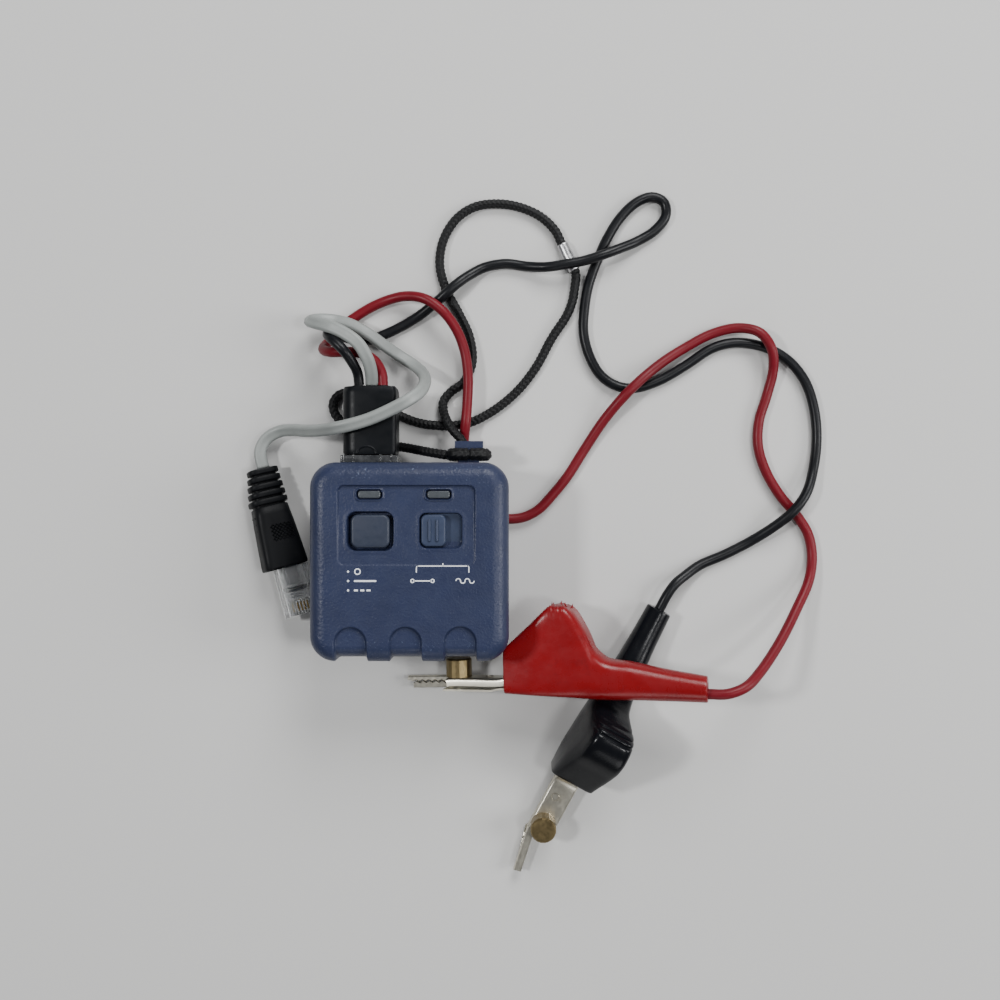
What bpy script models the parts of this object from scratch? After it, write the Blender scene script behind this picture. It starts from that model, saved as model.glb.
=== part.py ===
"""Pocket tone generator with two clip leads, a flat lead with a modular plug, and a neck lanyard.

Units are metres, +Z up. The origin is the centre of the case's resting face, and +Y points to the end of the
case that the leads and the lanyard leave. Run with: blender --background --python part.py
"""

import math

import bmesh
import bpy
from mathutils import Matrix, Vector

# ---------------------------------------------------------------- driving dimensions
CASE_SIDE = 0.058
CASE_TOP = 0.034
CASE_BACK = 0.004
REAR_RIM = 0.0140
FRONT_RIM = 0.0143
WALL = 0.0022
CASE_CORNER = 0.0075
TOP_EDGE = 0.0048
GAP = 0.0003

PANEL_FLOOR = CASE_TOP - 0.0006
PANEL_CENTRE = (-0.0006, 0.0107)
PANEL_SIZE = (0.0398, 0.0232)

BUTTON_CENTRE = (-0.0110, 0.0090)
BUTTON_CAP = (0.0112, 0.0096)
BUTTON_OPENING = (0.0131, 0.0110)
KNOB_CENTRE = (0.0072, 0.0092)
KNOB_CAP = (0.0072, 0.0092)
KNOB_OPENING = (0.0121, 0.0100)
WINDOW_CENTRES = {"left": (-0.0113, 0.0196), "right": (0.0087, 0.0196)}
WINDOW_LENS = (0.0070, 0.0024)
SCALLOP_CENTRES = (-0.0168, -0.0009, 0.0149)
SCALLOP_WIDTH = 0.0096
SCALLOP_TOP = -0.0186

PLATEAU_LOW = (-0.0279, -0.0278)
PLATEAU_HIGH = (0.0123, 0.0278)
DOOR_LOW = (-0.0219, -0.0260)
DOOR_HIGH = (0.0084, 0.0260)
WELL_LOW = (-0.0204, -0.0250)
WELL_HIGH = (0.0069, 0.0256)
DOOR_THICK = 0.0019
DOOR_SCREW = (0.0118, -0.0140)
CASE_SCREWS = ((-0.0250, 0.0226), (-0.0250, -0.0226), (0.0232, 0.0232), (0.0232, -0.0232))

BATTERY_LOW = (-0.0200, -0.0246, 0.0024)
BATTERY_HIGH = (0.0065, 0.0218, 0.0199)
BOARD_SIZE = (0.0398, 0.0500, 0.0016)
BOARD_BASE = 0.0220
BOARD_TOP = BOARD_BASE + BOARD_SIZE[2]

LEAD_RADIUS = 0.0016
FLAT_LEAD_RADIUS = 0.0013
LANYARD_RADIUS = 0.0015
CORD_STEP = 2.0

BLOCK_LOW = (-0.0212, 0.0318, 0.0065)
BLOCK_HIGH = (-0.0043, 0.0523, 0.0195)
POST_CENTRE = (0.0168, 0.0120)

PLUG_TOP = Vector((-0.0477, 0.0277, 0.0046))
PLUG_WAY = Vector((0.0126, -0.0453, 0.0021)).normalized()
PLUG_ROLL = math.radians(27)
PLUG_BOOT_LENGTH = 0.0315
PLUG_TIP = 0.0470

# Each clip has its own axes: x from the nose to the lead's end, y towards the hump, z sideways.
RED_CLIP_NOSE = Vector((-0.0014, -0.0436, 0.0023))
RED_CLIP_YAW = math.radians(1.4)
RED_CLIP_RISE = math.radians(14.0)
BLACK_CLIP_NOSE = Vector((0.0326, -0.0973, -0.0021))
BLACK_CLIP_YAW = math.radians(61.6)
BLACK_CLIP_RISE = math.radians(2.85)
CLIP_PIVOT = (0.0350, 0.0055)
CLIP_AXIS_HEIGHT = 0.00195
CRIMP_HEIGHT = 0.0036
SHEET = 0.0006

# Stations of the clip's boot: distance from the nose, lowest and highest height, half width, squareness.
BOOT_STATIONS = (
    (0.0302, 0.0011, 0.0149, 0.00690, 5.0),
    (0.0380, 0.0006, 0.0219, 0.00715, 5.0),
    (0.0432, 0.0003, 0.0268, 0.00690, 4.5),
    (0.0470, 0.0001, 0.0279, 0.00670, 4.5),
    (0.0514, -0.0002, 0.0260, 0.00645, 4.5),
    (0.0553, -0.0006, 0.0198, 0.00620, 4.0),
    (0.0576, -0.0008, 0.0150, 0.00600, 3.6),
    (0.0612, -0.0010, 0.0116, 0.00570, 3.2),
    (0.0689, -0.0012, 0.0103, 0.00500, 2.6),
    (0.0800, -0.0016, 0.0080, 0.00440, 2.2),
    (0.0922, -0.0020, 0.0059, 0.00400, 2.0),
)

# Points that each cord runs through, from its fitting outwards.
RED_ROUTE = (
    (-0.0094, 0.0530, 0.0130), (-0.0098, 0.0568, 0.0131), (-0.0118, 0.0604, 0.0136), (-0.0155, 0.0626, 0.0143),
    (-0.0205, 0.0632, 0.0143), (-0.0256, 0.0634, 0.0121), (-0.0286, 0.0650, 0.0075), (-0.0270, 0.0684, 0.0028),
    (-0.0236, 0.0725, 0.0016), (-0.0163, 0.0778, 0.0016), (-0.0099, 0.0808, 0.0020), (-0.0035, 0.0820, 0.0040),
    (0.0029, 0.0808, 0.0064), (0.0086, 0.0768, 0.0070), (0.0129, 0.0710, 0.0058), (0.0154, 0.0643, 0.0050),
    (0.0164, 0.0562, 0.0051), (0.0162, 0.0490, 0.0051), (0.0157, 0.0425, 0.0052), (0.0151, 0.0372, 0.0036),
    (0.0147, 0.0315, 0.0018), (0.0147, 0.0265, 0.0018), (0.0162, 0.0203, 0.0018), (0.0195, 0.0155, 0.0018),
    (0.0243, 0.0128, 0.0017), (0.0292, 0.0120, 0.0016), (0.0340, 0.0126, 0.0016), (0.0386, 0.0150, 0.0016),
    (0.0430, 0.0196, 0.0016), (0.0474, 0.0250, 0.0016), (0.0528, 0.0335, 0.0016), (0.0595, 0.0436, 0.0028),
    (0.0672, 0.0525, 0.0052), (0.0765, 0.0606, 0.0030), (0.0849, 0.0661, 0.0016), (0.0934, 0.0705, 0.0017),
    (0.1015, 0.0722, 0.0030), (0.1078, 0.0704, 0.0051), (0.1115, 0.0652, 0.0052), (0.1124, 0.0587, 0.0030),
    (0.1108, 0.0512, 0.0016), (0.1083, 0.0430, 0.0016), (0.1080, 0.0351, 0.0016), (0.1104, 0.0272, 0.0016),
    (0.1149, 0.0195, 0.0016), (0.1201, 0.0133, 0.0016), (0.1238, 0.0072, 0.0016), (0.1250, 0.0005, 0.0018),
    (0.1236, -0.0070, 0.0036), (0.1184, -0.0160, 0.0082), (0.1116, -0.0255, 0.0146), (0.1040, -0.0336, 0.0214),
    (0.0990, -0.0373, 0.0252), (0.09361, -0.0392, 0.0259), (0.0880, -0.03946, 0.0246), (0.07615, -0.03975, 0.02165),
    (0.0645, -0.0400, 0.01875), (0.0592, -0.0398, 0.0174), (0.0538, -0.03895, 0.0161), (0.0494, -0.03866, 0.0150),
)
BLACK_ROUTE = (
    (-0.0167, 0.0532, 0.0130), (-0.0171, 0.0568, 0.0140), (-0.0186, 0.0601, 0.0166), (-0.0209, 0.0633, 0.0184),
    (-0.0243, 0.0665, 0.0172), (-0.0264, 0.0687, 0.0130), (-0.0261, 0.0697, 0.0090), (-0.0231, 0.0692, 0.0058),
    (-0.0190, 0.0683, 0.0038), (-0.0145, 0.0686, 0.0020), (-0.0099, 0.0704, 0.0016), (-0.0050, 0.0727, 0.0016),
    (0.0009, 0.0762, 0.0020), (0.0060, 0.0800, 0.0034), (0.0100, 0.0832, 0.0049), (0.0134, 0.0862, 0.0046),
    (0.0170, 0.0890, 0.0028), (0.0215, 0.0915, 0.0016), (0.0283, 0.0927, 0.0016), (0.0349, 0.0918, 0.0020),
    (0.0410, 0.0912, 0.0040), (0.0472, 0.0919, 0.0050), (0.0530, 0.0930, 0.0051), (0.0590, 0.0949, 0.0053),
    (0.0640, 0.0970, 0.0040), (0.0695, 0.0996, 0.0020), (0.0752, 0.1031, 0.0016), (0.0788, 0.1078, 0.0016),
    (0.0783, 0.1120, 0.0016), (0.0746, 0.1138, 0.0016), (0.0696, 0.1121, 0.0016), (0.0644, 0.1072, 0.0016),
    (0.0602, 0.1005, 0.0016),
    (0.0575, 0.0945, 0.0016), (0.0545, 0.0863, 0.0016), (0.0531, 0.0784, 0.0016), (0.0528, 0.0711, 0.0016),
    (0.0545, 0.0640, 0.0016), (0.0582, 0.0575, 0.0016), (0.0635, 0.0540, 0.0016), (0.0692, 0.0534, 0.0016),
    (0.0770, 0.0559, 0.0016), (0.0852, 0.0606, 0.0016), (0.0934, 0.0659, 0.0016), (0.1007, 0.0677, 0.0016),
    (0.1092, 0.0666, 0.0016), (0.1171, 0.0625, 0.0016), (0.1228, 0.0556, 0.0016), (0.1258, 0.0464, 0.0016),
    (0.1265, 0.0363, 0.0016), (0.1252, 0.0275, 0.0024), (0.1226, 0.0203, 0.0044), (0.1186, 0.0148, 0.0052),
    (0.1136, 0.0104, 0.0040), (0.1060, 0.0052, 0.0019), (0.0975, 0.0008, 0.0016), (0.0895, -0.0026, 0.0019),
    (0.0847, -0.0058, 0.0032), (0.0815, -0.0082, 0.0044), (0.0791, -0.0113, 0.0047), (0.07635, -0.0164, 0.0044),
    (0.0706, -0.0271, 0.0038), (0.0649, -0.0376, 0.00325), (0.0622, -0.0425, 0.0033), (0.0596, -0.0474, 0.0040),
    (0.05745, -0.0513, 0.0042),
)
GREY_ROUTE = (
    (-0.0128, 0.0532, 0.0134), (-0.0128, 0.0572, 0.0157), (-0.0139, 0.0612, 0.0181), (-0.0164, 0.0652, 0.0188),
    (-0.0205, 0.0683, 0.0182), (-0.0252, 0.0705, 0.0172), (-0.0300, 0.0721, 0.0145), (-0.0322, 0.0733, 0.0105),
    (-0.0306, 0.0743, 0.0066), (-0.0262, 0.0744, 0.0049), (-0.0208, 0.0731, 0.0053), (-0.0150, 0.0700, 0.0058),
    (-0.0100, 0.0665, 0.0049), (-0.0050, 0.0632, 0.0034), (-0.0005, 0.0602, 0.0044), (0.0026, 0.0570, 0.0085),
    (0.0034, 0.0537, 0.0138), (0.0020, 0.0504, 0.0188), (-0.0015, 0.0476, 0.0214), (-0.0060, 0.0452, 0.0212),
    (-0.0127, 0.0422, 0.0213), (-0.0190, 0.0403, 0.0216), (-0.0240, 0.0394, 0.0201), (-0.0290, 0.0391, 0.0158),
    (-0.0336, 0.0393, 0.0109), (-0.0380, 0.0398, 0.0067), (-0.0428, 0.0395, 0.0044), (-0.0469, 0.0372, 0.0040), (-0.0488, 0.0335, 0.0042),
    (-0.0485, 0.0305, 0.0045), (-0.04778, 0.0280, 0.0046),
)
LANYARD_ROUTE_A = (
    (0.0154, 0.0347, 0.0074), (0.0143, 0.0368, 0.0072), (0.0118, 0.0396, 0.0066), (0.0098, 0.0428, 0.0051),
    (0.0086, 0.0462, 0.0028), (0.0086, 0.0493, 0.0016), (0.0110, 0.0523, 0.0015), (0.0148, 0.0551, 0.0015),
    (0.0176, 0.0616, 0.0015), (0.0168, 0.0695, 0.0015), (0.0132, 0.0774, 0.0015), (0.0096, 0.0840, 0.0015),
    (0.0074, 0.0920, 0.0015), (0.0084, 0.0999, 0.0015), (0.0125, 0.1068, 0.0015), (0.0182, 0.1106, 0.0015),
    (0.0255, 0.1117, 0.0015), (0.0327, 0.1106, 0.0015), (0.0394, 0.1075, 0.0015), (0.0438, 0.1033, 0.0015),
    (0.0457, 0.0996, 0.0015),
)
LANYARD_ROUTE_B = (
    (0.0503, 0.0898, 0.0015), (0.0500, 0.0850, 0.0015), (0.0492, 0.0806, 0.0015), (0.0474, 0.0762, 0.0015),
    (0.0428, 0.0692, 0.0015), (0.0378, 0.0600, 0.0015), (0.0315, 0.0521, 0.0015), (0.0236, 0.0458, 0.0015),
    (0.0163, 0.0423, 0.0015), (0.0084, 0.0415, 0.0015), (0.0011, 0.0423, 0.0015), (-0.0040, 0.0441, 0.0015),
    (-0.0120, 0.0482, 0.0015), (-0.0190, 0.0510, 0.0015), (-0.0239, 0.0516, 0.0015), (-0.0264, 0.0485, 0.0015),
    (-0.0252, 0.0444, 0.0015), (-0.0190, 0.0396, 0.0015), (-0.0120, 0.0366, 0.0017), (-0.0060, 0.0350, 0.0028),
    (-0.0010, 0.0340, 0.0058), (0.0040, 0.0329, 0.0094), (0.0090, 0.0320, 0.0116),
)

PARTS = "tone_generator"
CUTTERS = "cutters"


# ---------------------------------------------------------------- scene and materials
def start():
    """Empty the scene, and make the two collections."""
    for item in list(bpy.data.objects):
        bpy.data.objects.remove(item, do_unlink=True)
    for name in (PARTS, CUTTERS):
        bpy.context.scene.collection.children.link(bpy.data.collections.new(name))


def paint(color, roughness, metallic=0.0, alpha=1.0):
    """A Principled material."""
    surface = bpy.data.materials.new("surface")
    surface.use_nodes = True
    shader = surface.node_tree.nodes["Principled BSDF"]
    shader.inputs["Base Color"].default_value = (*color, 1.0)
    shader.inputs["Roughness"].default_value = roughness
    shader.inputs["Metallic"].default_value = metallic
    shader.inputs["Alpha"].default_value = alpha
    return surface


def case_blue():
    return paint((0.045, 0.065, 0.138), 0.55)


def black_plastic():
    return paint((0.012, 0.013, 0.016), 0.45)


def black_pvc():
    return paint((0.010, 0.010, 0.012), 0.35)


def red_pvc():
    return paint((0.42, 0.010, 0.020), 0.35)


def nickel_steel():
    return paint((0.45, 0.42, 0.38), 0.30, 1.0)


def screw_steel():
    return paint((0.55, 0.55, 0.56), 0.35, 1.0)


def aged_brass():
    return paint((0.30, 0.22, 0.09), 0.45, 1.0)


def braid():
    return paint((0.008, 0.008, 0.009), 0.85)


def clear_plastic():
    return paint((0.80, 0.82, 0.82), 0.10, 0.0, 0.4)


# ---------------------------------------------------------------- making shapes
def object_of(mesh, name="shape"):
    """A new object in the parts' collection for a mesh."""
    item = bpy.data.objects.new(name, mesh)
    bpy.data.collections[PARTS].objects.link(item)
    return item


def settle(shape, centre=(0.0, 0.0, 0.0)):
    """Turn a bmesh into an object at a place, with its faces pointing out."""
    bmesh.ops.recalc_face_normals(shape, faces=shape.faces)
    mesh = bpy.data.meshes.new("shape")
    shape.to_mesh(mesh)
    shape.free()
    item = object_of(mesh)
    item.location = centre
    return item


def block(size, centre, corner=0.0, top=0.0, bottom=0.0, steps=4):
    """A box with rounded upright corners, a rounded top edge and a rounded bottom edge."""
    shape = bmesh.new()
    bmesh.ops.create_cube(shape, size=1.0)
    bmesh.ops.scale(shape, vec=size, verts=shape.verts)
    half = size[2] / 2
    if corner:
        upright = [edge for edge in shape.edges if abs(edge.verts[0].co.z - edge.verts[1].co.z) > half]
        bmesh.ops.bevel(shape, geom=upright, offset=corner, segments=steps, profile=0.5, affect="EDGES")
    for radius, level in ((top, half), (bottom, -half)):
        if radius:
            rim = [edge for edge in shape.edges if all(abs(v.co.z - level) < 1e-6 for v in edge.verts)]
            bmesh.ops.bevel(shape, geom=rim, offset=radius, segments=3, profile=0.5, affect="EDGES")
    return settle(shape, centre)


def span(low, high, **rounding):
    """A box between two corners."""
    size = [b - a for a, b in zip(low, high)]
    centre = [(a + b) / 2 for a, b in zip(low, high)]
    return block(size, centre, **rounding)


def rod(radius, low, high, at=(0.0, 0.0), sides=20):
    """An upright cylinder between two heights."""
    shape = bmesh.new()
    bmesh.ops.create_cone(
        shape, cap_ends=True, segments=sides, radius1=radius, radius2=radius, depth=high - low
    )
    return settle(shape, (at[0], at[1], (low + high) / 2))


def mesh_of(guide):
    """Turn a curve object into a closed mesh object, and remove the curve."""
    bpy.context.view_layer.update()
    evaluated = guide.evaluated_get(bpy.context.evaluated_depsgraph_get())
    mesh = bpy.data.meshes.new_from_object(evaluated)
    shape = bmesh.new()
    shape.from_mesh(mesh)
    bmesh.ops.remove_doubles(shape, verts=shape.verts, dist=1e-6)
    bmesh.ops.recalc_face_normals(shape, faces=shape.faces)
    shape.to_mesh(mesh)
    shape.free()
    item = object_of(mesh)
    item.matrix_world = guide.matrix_world
    bpy.data.objects.remove(guide, do_unlink=True)
    return item


def prism(outline, low, high, frame=None):
    """A flat outline in a frame's XY plane, extruded along its Z from low to high."""
    curve = bpy.data.curves.new("outline", "CURVE")
    curve.dimensions = "2D"
    curve.fill_mode = "BOTH"
    curve.extrude = (high - low) / 2
    spline = curve.splines.new("POLY")
    spline.points.add(len(outline) - 1)
    for point, (x, y) in zip(spline.points, outline):
        point.co = (x, y, 0.0, 1.0)
    spline.use_cyclic_u = True
    guide = object_of(curve)
    middle = Matrix.Translation((0.0, 0.0, (low + high) / 2))
    guide.matrix_world = (frame or Matrix.Identity(4)) @ middle
    return mesh_of(guide)


def tube(points, radius, closed=False, resolution=2):
    """A round wire through points."""
    curve = bpy.data.curves.new("wire", "CURVE")
    curve.dimensions = "3D"
    curve.bevel_depth = radius
    curve.bevel_resolution = resolution
    curve.use_fill_caps = not closed
    spline = curve.splines.new("POLY")
    spline.points.add(len(points) - 1)
    for point, place in zip(spline.points, points):
        point.co = (*place, 1.0)
    spline.use_cyclic_u = closed
    return mesh_of(object_of(curve))


def turned(profile, steps=20):
    """A solid turned about Z from a profile in XZ that runs down its outer side."""
    mesh = bpy.data.meshes.new("profile")
    points = [(x, 0.0, z) for x, z in profile]
    mesh.from_pydata(points, [(i, i + 1) for i in range(len(points) - 1)], [])
    item = object_of(mesh)
    screw = item.modifiers.new("Turn", "SCREW")
    screw.steps = steps
    screw.render_steps = steps
    screw.use_merge_vertices = True
    screw.merge_threshold = 1e-6
    return item


def loft(rings):
    """A closed solid through rings of points that all have the same count."""
    shape = bmesh.new()
    loops = [[shape.verts.new(point) for point in ring] for ring in rings]
    for first, second in zip(loops, loops[1:]):
        count = len(first)
        for i in range(count):
            j = (i + 1) % count
            shape.faces.new((first[i], first[j], second[j], second[i]))
    shape.faces.new(reversed(loops[0]))
    shape.faces.new(loops[-1])
    return settle(shape)


def rounded_ring(half_width, half_height, squareness, count=16):
    """Points of a rounded rectangle, from a circle at squareness 2 to nearly square above 5."""
    points = []
    for i in range(count):
        angle = math.tau * (i + 0.5) / count
        c, s = math.cos(angle), math.sin(angle)
        points.append((
            half_width * math.copysign(abs(c) ** (2 / squareness), c),
            half_height * math.copysign(abs(s) ** (2 / squareness), s),
        ))
    return points


def smooth_points(route, spacing):
    """Evenly spaced points on the smooth curve through a route."""
    knots = [Vector(p) for p in route]
    knots = [2 * knots[0] - knots[1], *knots, 2 * knots[-1] - knots[-2]]
    fine = []
    for a, b, c, d in zip(knots, knots[1:], knots[2:], knots[3:]):
        ta = 0.0
        tb = ta + (b - a).length ** 0.5
        tc = tb + (c - b).length ** 0.5
        td = tc + (d - c).length ** 0.5
        for i in range(12):
            t = tb + (tc - tb) * i / 12
            ab = a.lerp(b, (t - ta) / (tb - ta))
            bc = b.lerp(c, (t - tb) / (tc - tb))
            cd = c.lerp(d, (t - tc) / (td - tc))
            abc = ab.lerp(bc, (t - ta) / (tc - ta))
            bcd = bc.lerp(cd, (t - tb) / (td - tb))
            fine.append(abc.lerp(bcd, (t - tb) / (tc - tb)))
    fine.append(knots[-2])
    lengths = [0.0]
    for first, second in zip(fine, fine[1:]):
        lengths.append(lengths[-1] + (second - first).length)
    count = round(lengths[-1] / spacing)
    points = []
    index = 0
    for k in range(count + 1):
        target = lengths[-1] * k / count
        while index < len(fine) - 2 and lengths[index + 1] < target:
            index += 1
        share = (target - lengths[index]) / (lengths[index + 1] - lengths[index])
        points.append(fine[index].lerp(fine[index + 1], min(share, 1.0)))
    return points


def combine(piece, tool, operation):
    """Cut a tool out of a piece, or join it on, and stow the tool."""
    modifier = piece.modifiers.new(operation.title(), "BOOLEAN")
    modifier.operation = operation
    modifier.solver = "EXACT"
    modifier.object = tool
    tool.hide_render = True
    tool.display_type = "WIRE"
    bpy.data.collections[CUTTERS].objects.link(tool)
    bpy.data.collections[PARTS].objects.unlink(tool)


def cut(piece, *tools):
    for tool in tools:
        combine(piece, tool, "DIFFERENCE")


def join(piece, *tools):
    for tool in tools:
        combine(piece, tool, "UNION")


def name_part(piece, name, surface, parent=None):
    """Name a finished piece, give it its material and its parent."""
    piece.name = name
    piece.data.materials.clear()
    piece.data.materials.append(surface)
    surface.name = name
    piece.data.shade_smooth()
    piece.data.set_sharp_from_angle(angle=math.radians(35))
    if parent:
        ride_on(piece, parent)
    return piece


def ride_on(piece, parent):
    """Keep a piece's numbers in its parent's own axes, with the tools that shape it."""
    piece.parent = parent
    for modifier in piece.modifiers:
        if modifier.type == "BOOLEAN" and modifier.object.parent is None:
            modifier.object.parent = parent


def pivot_empty(name, frame):
    """An empty that carries the axes of a group of parts."""
    empty = bpy.data.objects.new(name, None)
    bpy.data.collections[PARTS].objects.link(empty)
    empty.matrix_world = frame
    return empty


def plan_box(centre, size, low, high, **rounding):
    """A box given by its plan centre and size, and its heights."""
    return block((size[0], size[1], high - low), (centre[0], centre[1], (low + high) / 2), **rounding)


# ---------------------------------------------------------------- case
def arch(centre_x, width, foot, top, steps=8):
    """Outline of an arch that stands on a line."""
    radius = width / 2
    points = [(centre_x + radius, foot)]
    for i in range(steps + 1):
        angle = math.pi * i / steps
        points.append((centre_x + radius * math.cos(angle), top - radius + radius * math.sin(angle)))
    points.append((centre_x - radius, foot))
    return points


def front_cover():
    side = CASE_SIDE
    cover = plan_box((0, 0), (side, side), FRONT_RIM, CASE_TOP, corner=CASE_CORNER, top=TOP_EDGE)
    inner = side - 2 * WALL
    cut(cover, plan_box((0, 0), (inner, inner), 0.0, CASE_TOP - WALL, corner=CASE_CORNER - WALL,
                        top=TOP_EDGE - WALL))
    for place in CASE_SCREWS:
        join(cover, rod(0.0030, 0.0150, CASE_TOP - WALL + 0.0008, place, sides=12))
    cut(cover, plan_box(PANEL_CENTRE, PANEL_SIZE, PANEL_FLOOR, CASE_TOP + 0.001, corner=0.0020, steps=2))
    for x in SCALLOP_CENTRES:
        foot = -side / 2 - 0.002
        cut(cover, prism(arch(x, SCALLOP_WIDTH, foot, SCALLOP_TOP), CASE_TOP - 0.0011, CASE_TOP + 0.002))
        cut(cover, plan_box((x, -side / 2), (SCALLOP_WIDTH, 0.0030), 0.0190, CASE_TOP))
    reach = (CASE_TOP - 0.008, CASE_TOP + 0.001)
    knob_opening_x = KNOB_CENTRE[0] + (KNOB_OPENING[0] - KNOB_CAP[0]) / 2 - GAP
    cut(cover, plan_box(BUTTON_CENTRE, BUTTON_OPENING, *reach, corner=0.0026, steps=2))
    cut(cover, plan_box((knob_opening_x, KNOB_CENTRE[1]), KNOB_OPENING, *reach, corner=0.0012, steps=2))
    for centre in WINDOW_CENTRES.values():
        cut(cover, plan_box(centre, [v + 2 * GAP for v in WINDOW_LENS], *reach, corner=0.0008, steps=2))
    for place in CASE_SCREWS:
        cut(cover, rod(0.0013, 0.0140, 0.0270, place, sides=12))
    name_part(cover, "front_cover", case_blue())


def rear_cover():
    side = CASE_SIDE
    cover = plan_box((0, 0), (side, side), CASE_BACK, REAR_RIM, corner=CASE_CORNER, bottom=0.0020)
    inner = side - 2 * WALL
    cut(cover, plan_box((0, 0), (inner, inner), CASE_BACK + 0.002, 0.03, corner=CASE_CORNER - WALL))
    join(cover, span((*PLATEAU_LOW, 0.0), (*PLATEAU_HIGH, CASE_BACK + 0.0011), corner=0.0051))
    join(cover, rod(0.0052, 0.0, CASE_BACK + 0.0015, DOOR_SCREW))
    for place in CASE_SCREWS:
        join(cover, rod(0.0034, CASE_BACK + 0.001, REAR_RIM - GAP, place, sides=12))
    post_x, post_z = POST_CENTRE
    join(cover, span((post_x - 0.0032, 0.0280, post_z - 0.0020), (post_x + 0.0032, 0.0345, post_z + 0.0019)))
    join(cover, block((0.0086, 0.0021, 0.0045), (post_x + 0.0001, 0.03495, post_z - 0.0003)))
    cut(cover, span((*WELL_LOW, -0.001), (*WELL_HIGH, 0.0070)))
    pocket_low = [v - GAP for v in DOOR_LOW]
    pocket_high = [v + GAP for v in DOOR_HIGH]
    cut(cover, span((*pocket_low, -0.001), (*pocket_high, DOOR_THICK + GAP), corner=0.0013, steps=2))
    ear_x, ear_y = DOOR_SCREW
    cut(cover, rod(0.0039, -0.001, DOOR_THICK + GAP, DOOR_SCREW))
    cut(cover, span((0.0060, ear_y - 0.0036, -0.001), (ear_x - 0.0008, ear_y + 0.0036, DOOR_THICK + GAP)))
    cut(cover, rod(0.0013, 0.001, CASE_BACK + 0.0008, DOOR_SCREW, sides=12))
    for place in CASE_SCREWS:
        cut(cover, rod(0.0027, -0.001, CASE_BACK + 0.0016, place, sides=16))
        cut(cover, rod(0.0014, 0.004, 0.0150, place, sides=12))
    cut(cover, span((-0.0189, 0.0255, 0.0082), (-0.0073, 0.0300, 0.0150)))
    name_part(cover, "rear_cover", case_blue())


def battery_door():
    door = span((*DOOR_LOW, 0.0), (*DOOR_HIGH, DOOR_THICK), corner=0.0010, steps=2)
    ear_x, ear_y = DOOR_SCREW
    join(door, rod(0.0036, 0.0, DOOR_THICK, DOOR_SCREW))
    join(door, span((0.0060, ear_y - 0.0033, 0.0), (ear_x - 0.0008, ear_y + 0.0033, DOOR_THICK)))
    cut(door, rod(0.0025, -0.001, 0.0011, DOOR_SCREW, sides=16))
    cut(door, rod(0.0014, -0.001, 0.003, DOOR_SCREW, sides=12))
    for y in (-0.006, 0.0, 0.006):
        cut(door, span((-0.0190, y - 0.0006, -0.001), (-0.0060, y + 0.0006, 0.0004)))
    name_part(door, "battery_door", case_blue())


def screw(name, place, base, head, shank, length):
    """A pan-head screw that points up, with its head's underside at its base."""
    profile = [(0.0, length), (shank, length - 0.0006), (shank, 0.0), (head, 0.0), (head * 0.85, -0.0008), (0.0, -0.0008)]
    piece = turned(profile, steps=12)
    piece.location = (*place, base)
    name_part(piece, name, screw_steel())


def screws():
    screw("battery_door_screw", DOOR_SCREW, 0.0009, 0.0021, 0.0010, 0.0035)
    for number, place in enumerate(CASE_SCREWS, 1):
        screw(f"case_screw_{number}", place, CASE_BACK + 0.0014, 0.0023, 0.00105, 0.0180)


# ---------------------------------------------------------------- inside the case
def battery_parts():
    low, high = BATTERY_LOW, BATTERY_HIGH
    battery = span(low, high, corner=0.0020, steps=2)
    name_part(battery, "battery", paint((0.02, 0.02, 0.025), 0.35, 0.6))
    snap = span((low[0] + 0.001, high[1] + GAP, low[2] + 0.0015), (high[0] - 0.001, 0.0253, high[2] - 0.0015))
    name_part(snap, "battery_snap", black_plastic())


def board_parts():
    width, depth, _ = BOARD_SIZE
    board = plan_box((0, 0), (width, depth), BOARD_BASE, BOARD_TOP)
    name_part(board, "circuit_board", paint((0.01, 0.12, 0.05), 0.4))
    over = BOARD_TOP + GAP
    under = BOARD_BASE - GAP

    switch = plan_box(BUTTON_CENTRE, (0.006, 0.006), over, over + 0.0035)
    cut(switch, rod(0.0021, over + 0.0012, over + 0.005, BUTTON_CENTRE, sides=12))
    name_part(switch, "tact_switch", black_plastic())

    x, y = KNOB_CENTRE
    housing = plan_box((x + 0.0020, y), (0.0110, 0.0044), over, over + 0.0036)
    cut(housing, plan_box((x + 0.0020, y), (0.0070, 0.0020), over + 0.0018, over + 0.006))
    name_part(housing, "slide_switch", nickel_steel())

    chip = plan_box((-0.0040, -0.0100), (0.0100, 0.0060), over, over + 0.0016)
    name_part(chip, "controller_chip", black_plastic())
    transformer = plan_box((0.0155, 0.0060), (0.0120, 0.0100), under - 0.0080, under)
    name_part(transformer, "output_transformer", paint((0.30, 0.24, 0.06), 0.5))
    capacitor = rod(0.0030, under - 0.0080, under, (0.0160, -0.0100), sides=16)
    name_part(capacitor, "filter_capacitor", paint((0.02, 0.03, 0.08), 0.3))
    for side, centre in WINDOW_CENTRES.items():
        led = plan_box(centre, (0.0030, 0.0016), over, over + 0.0012)
        name_part(led, f"led_{side}", paint((0.75, 0.72, 0.60), 0.3))


# ---------------------------------------------------------------- controls
def led_windows():
    for side, centre in WINDOW_CENTRES.items():
        lens = plan_box(centre, WINDOW_LENS, 0.0310, PANEL_FLOOR + 0.0003, corner=0.0007, steps=2)
        flange = plan_box(centre, (0.0084, 0.0040), 0.0300, CASE_TOP - WALL - GAP)
        join(lens, flange)
        name_part(lens, f"led_window_{side}", paint((0.30, 0.32, 0.34), 0.25))


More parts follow.
